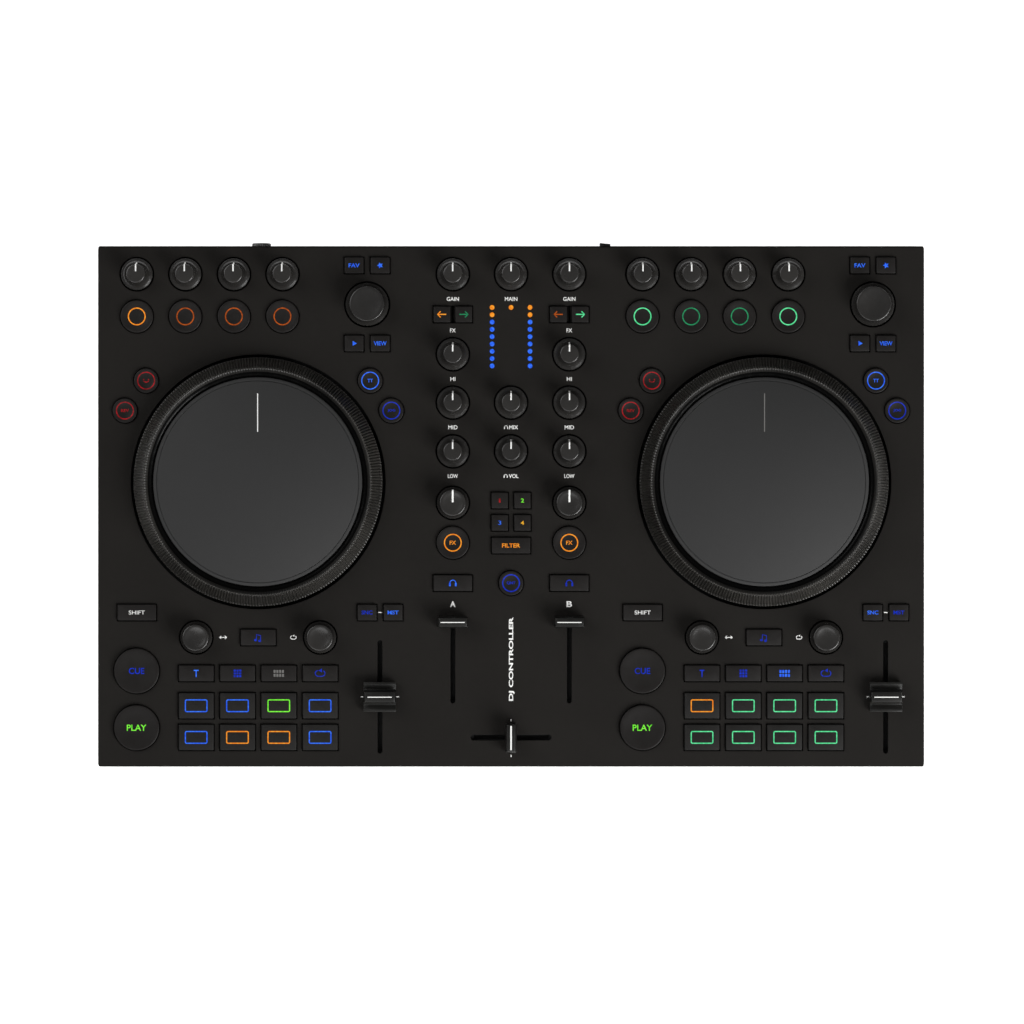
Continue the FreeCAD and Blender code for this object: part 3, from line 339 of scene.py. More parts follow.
INKS = {
    "print_white": ("white_screen_ink", "#f2f2ef", "#ffffff", 0.5, 0.15, 0.004, 0.02),
    "print_grey": ("grey_screen_ink", "#676664", "#7d7b76", 0.5, 0.15, 0.004, 0.02),
}
LAMPS = {
    "lens_blue": ("blue_light_pipe", "#3b7dff", "#1d57f0"),
    "lens_blue_dim": ("blue_light_pipe_low", "#0a33c8", "#0824a4"),
    "lens_orange": ("orange_light_pipe", "#ffa52f", "#f07f12"),
    "lens_orange_dim": ("orange_light_pipe_low", "#b9540c", "#8c3c06"),
    "lens_mint": ("mint_light_pipe", "#6df0a8", "#46d388"),
    "lens_mint_dim": ("mint_light_pipe_low", "#249560", "#187049"),
    "lens_lime": ("lime_light_pipe", "#8aff48", "#66e82e"),
    "lens_red": ("red_light_pipe", "#a61018", "#720a10"),
    "lens_yellow": ("yellow_light_pipe", "#ffc93c", "#eaa11c"),
}
FINISHES |= {slot: dull_surface(*settings) for slot, settings in INKS.items()}
FINISHES |= {slot: lit_surface(*settings) for slot, settings in LAMPS.items()}
print("finishes", len(FINISHES))

# %% [markdown]
# ## Turning a part
# Knobs, round keys, wheels and feet are all turned shapes, so one helper spins an outline round
# an upright axis.  The outline is a list of radius and height pairs, and runs from the bottom of
# the axis round to the top of it, or closes on itself when the part is a ring.  Points that meet
# on the axis are merged afterwards, which closes the poles and the seam.

# %% outlines and turned shapes
WELD = 0.0005            # millimetres: points nearer than this become one


def turn(outline, steps, closed=False):
    """Spin an outline of (radius, height) pairs into a solid round the Z axis, in millimetres."""
    mesh = bmesh.new()
    points = [mesh.verts.new((radius, 0, height)) for radius, height in outline]
    pairs = list(zip(points, points[1:]))
    if closed:
        pairs.append((points[-1], points[0]))
    edges = [mesh.edges.new(pair) for pair in pairs]
    bmesh.ops.spin(mesh, geom=points + edges, cent=(0, 0, 0), axis=(0, 0, 1), angle=math.tau,
                   steps=steps, use_merge=True, use_duplicate=False)
    bmesh.ops.remove_doubles(mesh, verts=mesh.verts, dist=WELD)
    return mesh


def arc_points(centre, radius, start, end, count):
    """Points on an arc of the outline, from one angle to another in degrees."""
    angles = [math.radians(start + (end - start) * step / count) for step in range(count + 1)]
    return [(centre[0] + radius * math.cos(a), centre[1] + radius * math.sin(a)) for a in angles]


disc = turn([(0, 0), (1, 0), (1, 1), (0, 1)], 12)
print("a turned test disc has", len(disc.faces), "faces")
disc.free()

# %% [markdown]
# ## From a mesh to a piece
# A shape is drawn round the origin, moved to its place inside its own mesh, and joined with
# others that move with it.  Only then is it scaled to metres and made an object, which stays at
# the origin.  Each piece is tested for open edges on the way, since a closed skin is what makes
# it a real solid.

# %% moving, joining and finishing
SHARP_ANGLE = math.radians(32)


def move(mesh, x, y, z=0.0):
    bmesh.ops.translate(mesh, verts=mesh.verts, vec=(x, y, z))
    return mesh


def rotate(mesh, degrees, axis="Z"):
    bmesh.ops.rotate(mesh, verts=mesh.verts, cent=(0, 0, 0),
                     matrix=Matrix.Rotation(math.radians(degrees), 3, axis))
    return mesh


def push(mesh, made, way):
    """Move only the corners among the geometry that an extrude has just made."""
    corners = [item for item in made if isinstance(item, bmesh.types.BMVert)]
    bmesh.ops.translate(mesh, verts=corners, vec=way)


def soften(mesh, parts, width, segments, affect="EDGES", clamp=False):
    """Round some edges, or some corners of a flat shape, over a width."""
    bmesh.ops.bevel(mesh, geom=parts, offset=width, offset_type="OFFSET", segments=segments,
                    profile=0.5, affect=affect, material=-1, clamp_overlap=clamp)


def take_in(mesh, data):
    mesh.from_mesh(data)
    bpy.data.meshes.remove(data)


def add_to(mesh, other):
    """Put the faces of one mesh into another, and free the one that they came from."""
    data = bpy.data.meshes.new("passing")
    other.to_mesh(data)
    other.free()
    take_in(mesh, data)
    return mesh


def make_piece(mesh, name, body, slot):
    """Turn a mesh drawn in millimetres into a piece that rides on a body, in its slot's finish."""
    bmesh.ops.remove_doubles(mesh, verts=mesh.verts, dist=WELD)
    bmesh.ops.recalc_face_normals(mesh, faces=mesh.faces)
    bmesh.ops.scale(mesh, verts=mesh.verts, vec=(MM, MM, MM))
    open_edges = sum(not edge.is_manifold for edge in mesh.edges)
    if open_edges:
        print("OPEN EDGES in", name, open_edges)
    data = bpy.data.meshes.new(name)
    mesh.to_mesh(data)
    mesh.free()
    data.shade_smooth()
    data.set_sharp_from_angle(angle=SHARP_ANGLE)
    data.materials.append(FINISHES[slot])
    piece = bpy.data.objects.new(name, data)
    scene.collection.objects.link(piece)
    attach(piece, body)
    return piece


print("edges sharper than", round(math.degrees(SHARP_ANGLE)), "degrees stay sharp")

# %% [markdown]
# ## Knobs
# A knob is one ABS moulding pressed on a metal shaft: a fluted skirt, a hollow flare up from it,
# and a cap that the fingers hold.  Cutting flutes one by one would be slow, so the outline is
# spun in twice as many columns as there are flutes and every other column of the skirt is drawn
# in.  The pointer is a moulded white inlay that follows the outline, so it is the same outline,
# pulled sideways to a ribbon and thickened.

# %% the outline of a knob
SKIRT_HEIGHT = 3.3
FLARE_RADIUS = 5.0
FLARE_HEIGHT = 4.7       # from the skirt's upper edge to where the cap starts
CAP_EDGE = 0.5
CAP_MARGIN = 0.5         # flat ring round a dish


def flare(start, end, radius):
    """Points on the hollow arc between two outline points, with its middle outside the knob."""
    first, last = Vector(start), Vector(end)
    chord = last - first
    lift = math.sqrt(radius ** 2 - (chord.length / 2) ** 2)
    outward = Vector((chord.y, -chord.x)).normalized()
    centre = (first + last) / 2 + outward * lift
    low = math.degrees(math.atan2(first.y - centre.y, first.x - centre.x)) % 360
    high = math.degrees(math.atan2(last.y - centre.y, last.x - centre.x)) % 360
    return arc_points(centre, radius, low, high, 6)


def knob_top(skirt, cap, bottom, top, dish):
    """The visible outline, from the skirt's lower edge up to the middle of the cap."""
    shoulder = bottom + SKIRT_HEIGHT
    points = [(skirt - 0.15, bottom), (skirt, bottom + 0.15), (skirt, shoulder - 0.25)]
    points += flare((skirt - 0.25, shoulder), (cap + CAP_EDGE, shoulder + FLARE_HEIGHT),
                    FLARE_RADIUS)
    points += arc_points((cap - CAP_EDGE, top - CAP_EDGE), CAP_EDGE, 0, 90, 4)
    if dish:
        rim = cap - CAP_EDGE - CAP_MARGIN
        points += [(rim * share, top - dish * (1 - share ** 2))
                   for share in (1.0, 0.85, 0.65, 0.4, 0.2)]
    return points + [(0.0, top - dish)]


sample = knob_top(8.6, 5.0, 38.0, 54.5, 0.0)
print("knob outline", len(sample), "points, from", sample[0], "to", sample[-1])


# %% make a knob
FLUTES = 40
FLUTE_DEPTH = 0.22
SHAFT_RADIUS = 3.0
SUNK = 2.0               # how far a knob's skirt reaches down into the panel
SKIRT_WALL = 1.2
INLAY = 0.06             # how far a pointer stands proud of its knob


def column_of(vertex, steps):
    """The radius of a point of a turned mesh, and the number of its column."""
    across, along = vertex.co.x, vertex.co.y
    return math.hypot(across, along), round(math.atan2(along, across) / math.tau * steps)


def draw_in(vertex, radius, depth):
    vertex.co.x *= (radius - depth) / radius
    vertex.co.y *= (radius - depth) / radius


def flute(mesh, steps, depth, inside, outside, low, high):
    """Draw in every other column of a turned mesh, between two radii and two heights."""
    for vertex in mesh.verts:
        radius, column = column_of(vertex, steps)
        if column % 2 and inside < radius < outside and low < vertex.co.z < high:
            draw_in(vertex, radius, depth)


def make_knob(node, cap, dish):
    low, high = node_box(node)
    centre = (low + high) / 2
    skirt = (high.x - low.x) / 2
    bottom = PANEL_TOP - SUNK
    top_outline = knob_top(skirt, cap, bottom, high.z - INLAY, dish)
    underside = [(0.0, low.z), (SHAFT_RADIUS, low.z), (SHAFT_RADIUS, bottom + SKIRT_WALL),
                 (skirt - SKIRT_WALL, bottom + SKIRT_WALL), (skirt - SKIRT_WALL, bottom)]
    steps = FLUTES * 2
    mesh = turn(underside + top_outline, steps)
    shoulder = bottom + SKIRT_HEIGHT
    flute(mesh, steps, FLUTE_DEPTH, skirt - 0.5, skirt + 1, bottom, shoulder + 0.1)
    flute(mesh, steps, FLUTE_DEPTH / 2, cap - 0.1, cap + 0.1, shoulder, high.z)
    piece = make_piece(move(mesh, centre.x, centre.y), f"{node}_grip", node, "knob_plastic")
    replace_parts(piece, node)
    return top_outline


def make_pointer(node, outline, inner, outer, width):
    """A white inlay from the inner to the outer radius of a knob's outline."""
    centre = middle_of(node)
    path = [point for point in reversed(outline) if inner < point[0] < outer]
    path.insert(0, (inner, path[0][1]))
    mesh = bmesh.new()
    points = [mesh.verts.new((-width / 2, radius, height)) for radius, height in path]
    edges = [mesh.edges.new(pair) for pair in zip(points, points[1:])]
    wide = bmesh.ops.extrude_edge_only(mesh, edges=edges)["geom"]
    push(mesh, wide, (width, 0, 0))
    mesh.normal_update()
    if mesh.faces[:][0].normal.z < 0:
        bmesh.ops.reverse_faces(mesh, faces=mesh.faces)
    bmesh.ops.solidify(mesh, geom=mesh.faces[:], thickness=-INLAY)
    make_piece(move(mesh, centre.x, centre.y), f"{node}_pointer", node, "print_white")


print("flutes", FLUTES, "on a knob, each", FLUTE_DEPTH, "mm deep")

# %% all the knobs
PLAIN_CAP, DISHED_CAP, BROWSE_CAP = 5.0, 7.0, 9.3      # cap radii
FINGER_DISH = 0.8
knob_nodes = [name for name in frame["nodes"] if "knob" in name and name != "mic_level_knob"]
encoder_nodes = [name for name in frame["nodes"] if "encoder" in name]
for name in knob_nodes:
    if name.startswith("filter"):
        make_pointer(name, make_knob(name, DISHED_CAP, FINGER_DISH), 0.3, 7.2, 0.95)
    else:
        make_pointer(name, make_knob(name, PLAIN_CAP, 0.0), 1.15, 6.5, 0.75)
for name in encoder_nodes:
    make_knob(name, BROWSE_CAP if name.startswith("browse") else DISHED_CAP, FINGER_DISH)
print("knobs", len(knob_nodes), "encoders", len(encoder_nodes))

# %% [markdown]
# ## Jog wheels
# The rim is a heavy ABS ring.  Its sloping outer face carries fine ribs for the fingertips, its
# crest is rounded, and it falls to a smooth valley round the plate.  With a rib every 1.6 mm
# there are 264, so the ring is spun with four columns to a rib, two high and two low.  The web
# and hub that nobody sees are a separate, much coarser ring.  The plate is a thin anodised disc
# with a turned line near its edge and a printed index mark.

# %% ribbed rims
RIBS = 264
RIB_DEPTH = 0.55
COLUMNS_PER_RIB = 4
RIBS_FROM = 44.3         # height where the ribs start
CREST_INSET = 5.9        # from the outer edge in to the middle of the crest
GROOVE_INSET = 1.9       # from there in to where the ribs end and the smooth groove starts
RIM_SUNK = 1.7           # how far the rim reaches down into the panel
BORE = 6.35              # radius of the hole over the bearing post


def make_rim(deck):
    node = f"jog_rim_{deck}"
    low, high = node_box(node)
    centre = (low + high) / 2
    outer = (high.x - low.x) / 2
    crest = outer - CREST_INSET
    ribs_end = crest - GROOVE_INSET
    bottom = PANEL_TOP - RIM_SUNK
    outline = [(outer - 8.8, bottom), (outer - 0.4, bottom), (outer, bottom + 0.4),
               (outer, 44.0), (outer - 0.25, 44.6), (outer - 1.6, 46.8), (outer - 3.2, 49.5),
               (outer - 4.7, 52.0)]
    outline += arc_points((crest, high.z - 1.0), 1.0, 50, 125, 4)
    outline += [(crest - 1.5, 51.9), (crest - 1.9, 51.0), (crest - 2.6, 49.9), (crest - 3.4, 49.2),
                (outer - 10.0, 48.8), (outer - 10.4, 48.3), (outer - 10.4, 43.0),
                (outer - 8.8, 43.0)]
    steps = RIBS * COLUMNS_PER_RIB
    mesh = turn(outline, steps, closed=True)
    for vertex in mesh.verts:
        radius, column = column_of(vertex, steps)
        if column % COLUMNS_PER_RIB > 1 and vertex.co.z > RIBS_FROM and radius > ribs_end:
            draw_in(vertex, radius, RIB_DEPTH if radius > crest + 0.2 else 0.0)
            vertex.co.z -= RIB_DEPTH / 2
    ring = make_piece(move(mesh, centre.x, centre.y), f"jog_rim_{deck}_ribbed",
                      f"jog_wheel_{deck}", "jog_rim_plastic")
    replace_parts(ring, node)
    # the faces inside the ribs take the near-black groove finish: painted shade in the recess
    ring.data.materials.append(FINISHES["rim_groove_painted_shade"])
    for face in ring.data.polygons:
        reach = math.hypot(face.center.x - centre.x * MM, face.center.y - centre.y * MM)
        face.material_index = int(reach < ribs_end * MM)
    hub = [(BORE, low.z), (10.0, low.z), (10.0, 40.5), (outer - 8.9, 40.5), (outer - 8.9, 42.9),
           (BORE, 42.9)]
    web = turn(hub, 96, closed=True)
    make_piece(move(web, centre.x, centre.y), f"jog_rim_{deck}_web", f"jog_wheel_{deck}",
               "jog_rim_plastic")
    print(node, "radius", round(outer, 2), "mm, ribs every", round(math.tau * outer / RIBS, 2))


for deck in DECKS:
    make_rim(deck)


# %% plates and index marks
FACE_INSET = 1.9         # from the plate's edge in to its flat face
PLATE_THICKNESS = 2.6
MARK_WIDTH, MARK_LENGTH = 0.52, 20.6
MARK_REACH = 37.1        # from the wheel's middle to the middle of the mark


def block(width, length, low, high, edge, segments=2):
    """A rounded block from one height to another, in the middle of the frame."""
    mesh = bmesh.new()
    bmesh.ops.create_cube(mesh, size=1)
    bmesh.ops.scale(mesh, verts=mesh.verts, vec=(width, length, high - low))
    bmesh.ops.translate(mesh, verts=mesh.verts, vec=(0, 0, (low + high) / 2))
    soften(mesh, mesh.edges[:], edge, segments)
    return mesh


def make_plate(deck, mark_slot):
    node = f"jog_plate_{deck}"
    low, high = node_box(node)
    centre = (low + high) / 2
    edge = (high.x - low.x) / 2
    face = edge - FACE_INSET
    top = high.z
    underside = top - PLATE_THICKNESS
    outline = [(0.0, underside), (edge - 2.2, underside), (edge - 2.2, low.z), (edge, low.z),
               (edge, top - 0.85), (edge - 0.12, top - 0.62), (face + 0.35, top - 0.2),
               (face + 0.12, top - 0.22), (face + 0.08, top - 0.45), (face - 0.12, top - 0.45),
               (face - 0.16, top - 0.06), (face - 0.35, top), (0.0, top)]
    body = f"jog_wheel_{deck}"
    plate = make_piece(move(turn(outline, 192), centre.x, centre.y), f"jog_plate_{deck}_disc", body,
                       "jog_plate_metal")
    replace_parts(plate, node)
    mark = block(MARK_WIDTH, MARK_LENGTH, top - 0.3, top + 0.05, 0.03, 1)
    make_piece(move(mark, centre.x, centre.y + MARK_REACH), f"jog_plate_{deck}_index", body,
               mark_slot)
    print(node, "radius", round(edge, 2), "mm, face", round(face, 2), "mm")


make_plate("left", "print_white")
make_plate("right", "print_grey")

# %% [markdown]
# ## Keys
# Each key is a soft moulding: a cap with a rounded edge, a flange that keeps it under the panel,
# and a stem over its switch.  The CAD nodes hold whole groups of keys, so their places are read
# back: the group's mesh is merged, everything below its top faces is removed, and each island
# that is left is one key.  Round keys are turned, with a shallow dish.  The others start as one
# rounded rectangle that is raised, drawn in and raised again.

# %% find the keys of a group
Cap = collections.namedtuple("Cap", "x y top half_width half_length round")
CHAMFER = 0.4
ROUND_CORNERS = 8        # a key whose top has more corners than this is a round one


def find_caps(node):
    """The keys of a CAD node, from the rear row to the front and from left to right."""
    mesh = bmesh.new()
    mesh.from_mesh(frame["nodes"][node].data)
    bmesh.ops.scale(mesh, verts=mesh.verts, vec=(1 / MM, 1 / MM, 1 / MM))
    bmesh.ops.remove_doubles(mesh, verts=mesh.verts, dist=WELD)
    top = node_box(node)[1].z
    below = [vertex for vertex in mesh.verts if vertex.co.z < top - 0.01]
    bmesh.ops.delete(mesh, geom=below, context="VERTS")
    waiting = dict.fromkeys(mesh.verts)
    caps = []
    while waiting:
        island = [waiting.popitem()[0]]
        for vertex in island:
            for edge in vertex.link_edges:
                neighbour = edge.other_vert(vertex)
                if neighbour in waiting:
                    del waiting[neighbour]
                    island.append(neighbour)
        across = [vertex.co.x for vertex in island]
        along = [vertex.co.y for vertex in island]
        caps.append(Cap((min(across) + max(across)) / 2, (min(along) + max(along)) / 2, top,
                        (max(across) - min(across)) / 2 + CHAMFER,
                        (max(along) - min(along)) / 2 + CHAMFER, len(island) > ROUND_CORNERS))
    mesh.free()
    return sorted(caps, key=lambda cap: (-round(cap.y, 1), cap.x))


key_nodes = [name for name in frame["nodes"] if "_key" in name or "pads" in name]
key_nodes = [name for name in key_nodes if name != "key_switches"]
key_caps = {name: find_caps(name) for name in key_nodes}
print({name: len(caps) for name, caps in key_caps.items()})

# %% shape the keys
STEM_RADIUS = 1.3
FLANGE_BOTTOM = PANEL_TOP - 3.7
FLANGE_TOP = FLANGE_BOTTOM + 0.9
FLANGE_SPREAD = 0.9
KEY_CORNER = 0.5
DISH = 0.8
DISH_MARGIN = 1.0        # flat ring round a dish
STEM_GAP = 0.001         # keeps a stem's end from merging with the flange over it


def dish_depth(cap, radius):
    """How far a round key's face lies below its rim at one radius."""
    reach = cap.half_width - DISH_MARGIN
    return DISH * max(0.0, 1 - (radius / reach) ** 2)


def round_key(cap, stem_bottom):
    radius, top = cap.half_width, cap.top
    flange = radius + FLANGE_SPREAD
    outline = [(0.0, stem_bottom), (STEM_RADIUS, stem_bottom), (STEM_RADIUS, FLANGE_BOTTOM),
               (flange, FLANGE_BOTTOM), (flange, FLANGE_TOP), (radius, FLANGE_TOP)]
    outline += arc_points((radius - CHAMFER, top - CHAMFER), CHAMFER, 0, 90, 3)
    reach = radius - DISH_MARGIN
    outline += [(reach * share, top - dish_depth(cap, reach * share))
                for share in (1, 0.8, 0.6, 0.4, 0.2, 0)]
    return move(turn(outline, 64), cap.x, cap.y)


def raise_face(mesh, face, height):
    """Push one face up; a face that already has walls is left out of the result."""
    alone = all(edge.is_boundary for edge in face.edges)
    made = bmesh.ops.extrude_face_region(mesh, geom=[face])["geom"]
    if not alone:
        bmesh.ops.delete(mesh, geom=[face], context="FACES_ONLY")
    push(mesh, made, (0, 0, height))
    return [item for item in made if isinstance(item, bmesh.types.BMFace)][0]


def rounded_rectangle(width, length, corner):
    mesh = bmesh.new()
    bmesh.ops.create_grid(mesh, x_segments=1, y_segments=1, size=0.5)
    bmesh.ops.scale(mesh, verts=mesh.verts, vec=(width, length, 1))
    soften(mesh, mesh.verts[:], corner, 4, affect="VERTICES")
    return mesh


def square_key(cap, stem_bottom):
    width = (cap.half_width + FLANGE_SPREAD) * 2
    length = (cap.half_length + FLANGE_SPREAD) * 2
    mesh = rounded_rectangle(width, length, KEY_CORNER + FLANGE_SPREAD)
    face = raise_face(mesh, mesh.faces[:][0], FLANGE_TOP - FLANGE_BOTTOM)
    bmesh.ops.inset_region(mesh, faces=[face], thickness=FLANGE_SPREAD, use_even_offset=True)
    face = raise_face(mesh, face, cap.top - FLANGE_TOP)
    soften(mesh, list(face.edges), CHAMFER, 3)
    move(mesh, 0, 0, FLANGE_BOTTOM)
    stem_top = FLANGE_BOTTOM - STEM_GAP
    stem = turn([(0, stem_bottom), (STEM_RADIUS, stem_bottom), (STEM_RADIUS, stem_top),
                 (0, stem_top)], 16)
    return move(add_to(mesh, stem), cap.x, cap.y)


for name, caps in key_caps.items():
    stem_bottom = node_box(name)[0].z
    group = bmesh.new()
    for cap in caps:
        shape = round_key if cap.round else square_key
        add_to(group, shape(cap, stem_bottom))
    slot = "pad_silicone" if "pads" in name else "key_plastic"
    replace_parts(make_piece(group, f"{name}_caps", name, slot), name)
print("keys", sum(len(caps) for caps in key_caps.values()))

# %% [markdown]
# ## Legends and lamps
# Lit legends on the real keys are windows in the black skin, and labels on the panel are screen
# ink.  Both are thin closed shapes a few hundredths of a millimetre thick, drawn round the origin
# and then moved to their key, and they ride on the same body as the key.  Words are set with the
# built-in letters and made a mesh; rings are spun; boxes are rounded rectangles drawn in; loose
# strokes are curves with a round section, flattened.

# %% shapes for legends
THICKNESS = 0.06


def as_mesh(curve):
    """The mesh of a curve or of text, which is then thrown away."""
    pen = bpy.data.objects.new(curve.name, curve)
    data = bpy.data.meshes.new_from_object(pen)
    bpy.data.objects.remove(pen)
    bpy.data.curves.remove(curve)
    return data


def word(mesh, text, height, width, weight=0.02):
    """A word in plain capitals, stretched to a height and a width."""
    curve = bpy.data.curves.new("word", "FONT")
    curve.body = text
    curve.offset = weight
    curve.extrude = 0.5
    data = as_mesh(curve)
    corners = [vertex.co for vertex in data.vertices]
    low = Vector([min(corner[axis] for corner in corners) for axis in range(3)])
    high = Vector([max(corner[axis] for corner in corners) for axis in range(3)])
    data.transform(Matrix.Translation(-(low + high) / 2))
    data.transform(Matrix.Diagonal((width / (high.x - low.x), height / (high.y - low.y),
                                    THICKNESS, 1)))
    take_in(mesh, data)


def ring(mesh, outer, line):
    inner, half = outer - line, THICKNESS / 2
    add_to(mesh, turn([(inner, -half), (outer, -half), (outer, half), (inner, half)], 64,
                      closed=True))


def box_line(mesh, width, length, line, corner):
    """The outline of a rounded box."""
    frame_mesh = rounded_rectangle(width, length, corner)
    inner = frame_mesh.faces[:][0]
    bmesh.ops.inset_region(frame_mesh, faces=[inner], thickness=line, use_even_offset=True,
                           use_boundary=True)
    bmesh.ops.delete(frame_mesh, geom=[inner], context="FACES_ONLY")
    thicken(frame_mesh)
    add_to(mesh, frame_mesh)


def thicken(flat):
    """Raise every face of a flat island, which closes it into a thin solid round its own plane."""
    made = bmesh.ops.extrude_face_region(flat, geom=flat.faces[:])["geom"]
    push(flat, made, (0, 0, THICKNESS))
    move(flat, 0, 0, -THICKNESS / 2)


def polygon(mesh, sides, radius, turned=0.0, x=0.0, y=0.0, pinch=1.0, stretch=1.0):
    """A filled polygon; pinch draws every other corner in, which makes a star."""
    flat = bmesh.new()
    bmesh.ops.create_circle(flat, cap_ends=True, segments=sides, radius=radius)
    for number, vertex in enumerate(flat.verts):
        if number % 2:
            vertex.co *= pinch
    rotate(flat, turned)
    bmesh.ops.scale(flat, verts=flat.verts, vec=(stretch, 1, 1))
    thicken(flat)
    add_to(mesh, move(flat, x, y))


def bar(mesh, x, y, width, length):
    flat = rounded_rectangle(width, length, min(width, length) * 0.2)
    thicken(flat)
    add_to(mesh, move(flat, x, y))


def stroke(mesh, points, width):
    """A line with round joints: a curve with a round section, flattened."""
    curve = bpy.data.curves.new("stroke", "CURVE")
    curve.dimensions = "3D"
    curve.bevel_depth = width / 2
    curve.bevel_resolution = 1
    curve.use_fill_caps = True
    spline = curve.splines.new("POLY")
    spline.points.add(len(points) - 1)
    for place, (x, y) in zip(spline.points, points):
        place.co = (x, y, 0, 1)
    data = as_mesh(curve)
    data.transform(Matrix.Diagonal((1, 1, THICKNESS / width, 1)))
    take_in(mesh, data)


def legend(name, body, slot, x, y, *shapes, top=PANEL_TOP, cap=None):
    """Draw shapes, each a function with its sizes, at a place; a round key's dish bends them."""
    mesh = bmesh.new()
    for draw, *sizes in shapes:
        draw(mesh, *sizes)
    if cap and cap.round:
        for vertex in mesh.verts:
            vertex.co.z -= dish_depth(cap, math.hypot(vertex.co.x, vertex.co.y))
    return make_piece(move(mesh, x, y, top + THICKNESS / 2), name, body, slot)


def key_legend(name, body, slot, cap, *shapes):
    return legend(name, body, slot, cap.x, cap.y, *shapes, top=cap.top, cap=cap)


test = bmesh.new()
ring(test, 4.8, 0.7)
stroke(test, [(0, 0), (1, 0), (1, 1)], 0.4)
print("a ring and a stroke have", len(test.faces), "faces")
test.free()

# %% [markdown]
# The pictures on the keys are the usual signs of such a controller: arrows, headphones, notes, a
# grid, a loop.  Each is a short list of strokes, bars and polygons, so that it can be read and
# changed.

# %% signs
LINE = 0.45


def arrow(mesh, side):
    stroke(mesh, [(-2.3 * side, 0), (2.2 * side, 0)], 0.6)
    stroke(mesh, [(0.7 * side, 1.6), (2.3 * side, 0), (0.7 * side, -1.6)], 0.6)


def headphones(mesh, radius=1.6, line=LINE):
    stroke(mesh, arc_points((0, 0), radius, 0, 180, 10), line)
    for side in (-1, 1):
        bar(mesh, radius * side, -radius * 0.5, radius * 0.6, radius * 1.1)


def notes(mesh):
    stroke(mesh, [(-0.9, -1.3), (-0.9, 1.5), (1.3, 1.0), (1.3, -1.7)], 0.4)
    polygon(mesh, 12, 0.65, x=-1.4, y=-1.4, stretch=1.2)
    polygon(mesh, 12, 0.65, x=0.8, y=-1.8, stretch=1.2)


def tee(mesh):
    stroke(mesh, [(-1.3, 1.6), (1.3, 1.6)], 0.6)
    stroke(mesh, [(0, 1.6), (0, -2.0)], 0.6)


def squares(mesh, columns, rows, width, length, pitch_x, pitch_y):
    for column in range(columns):
        for row in range(rows):
            bar(mesh, (column - (columns - 1) / 2) * pitch_x, (row - (rows - 1) / 2) * pitch_y,
                width, length)


def loop(mesh, half=1.7, line=LINE):
    """An open loop with an arrow head at its end."""
    round_left = arc_points((-half * 0.4, 0), half * 0.6, 90, 270, 8)
    round_right = arc_points((half * 0.4, 0), half * 0.6, -90, 60, 6)
    stroke(mesh, round_left + round_right, line)
    polygon(mesh, 3, half * 0.45, turned=90, x=half * 0.15, y=half * 0.6)


def two_ways(mesh):
    stroke(mesh, [(-1.8, 0), (1.8, 0)], 0.4)
    for side in (-1, 1):
        stroke(mesh, [(1.0 * side, 0.8), (1.9 * side, 0), (1.0 * side, -0.8)], 0.4)


def smile(mesh):
    stroke(mesh, arc_points((0, 0.9), 1.7, 215, 325, 8), 0.5)
    for side in (-1, 1):
        polygon(mesh, 12, 0.35, x=1.3 * side, y=0.6)


print("signs drawn with lines", LINE, "mm wide")

# %% [markdown]
# Now the legends are given to the keys.  Each group of keys comes back in reading order, so a
# list in the same order is enough to pair them.  The two decks are lit differently, the left one
# in blue and orange, the right one in mint.

# %% effect, pad and mode lamps of both decks
DECK_LAMPS = {
    "left": {
        "effects": ["orange", "orange_dim", "orange_dim", "orange_dim"],
        "modes": ["lens_blue", "lens_blue_dim", "print_grey", "lens_blue_dim"],
        "pads": ["blue", "blue", "lime", "blue", "blue", "orange", "orange", "blue"],
        "sync": ["lens_blue_dim", "lens_blue"],
    },
    "right": {
        "effects": ["mint", "mint_dim", "mint_dim", "mint"],
        "modes": ["lens_blue_dim", "lens_blue_dim", "lens_blue", "lens_blue_dim"],
        "pads": ["orange", "mint", "mint", "mint", "mint", "mint", "mint", "mint"],
        "sync": ["lens_blue", "lens_blue_dim"],
    },
}
RING_RADIUS = 4.8
RING_LINE = 0.62


def light_upper_keys(deck):
    """Favourite, star, four effects, play, view, and the four round keys by the jog wheel."""
    body = f"upper_keys_{deck}"
    caps = key_caps[body]
    favourite, star, *effects = caps[:6]
    preview, view = caps[6:8]
    key_legend(f"favourite_lamp_{deck}", body, "lens_blue", favourite, (word, "FAV", 2.2, 5.9))
    key_legend(f"star_lamp_{deck}", body, "lens_blue", star, (polygon, 10, 1.7, 90, 0, 0, 0.5))
    key_legend(f"preview_lamp_{deck}", body, "lens_blue", preview, (polygon, 3, 1.5, -90))
    key_legend(f"view_lamp_{deck}", body, "lens_blue", view, (word, "VIEW", 2.2, 6.9))
    for number, (cap, lamp) in enumerate(zip(effects, DECK_LAMPS[deck]["effects"])):
        key_legend(f"effect_lamp_{deck}_{number + 1}", body, f"lens_{lamp}", cap,
                   (ring, RING_RADIUS, RING_LINE))
    inner = sorted(caps[8:10], key=lambda cap: abs(cap.x))
    outer = sorted(caps[10:12], key=lambda cap: abs(cap.x))
    if deck == "left":
        inner.reverse()
        outer.reverse()
    signs = (("slip", "lens_red", (smile,)), ("table", "lens_blue", (word, "TT", 1.9, 2.9)),
             ("reverse", "lens_red", (word, "REV", 1.6, 4.2)),
             ("wheel", "lens_blue_dim", (word, "JOG", 1.6, 4.2)))
    for cap, (sign, slot, shape) in zip(inner + outer, signs):
        key_legend(f"{sign}_lamp_{deck}", body, slot, cap, (ring, RING_RADIUS, 0.55), shape)


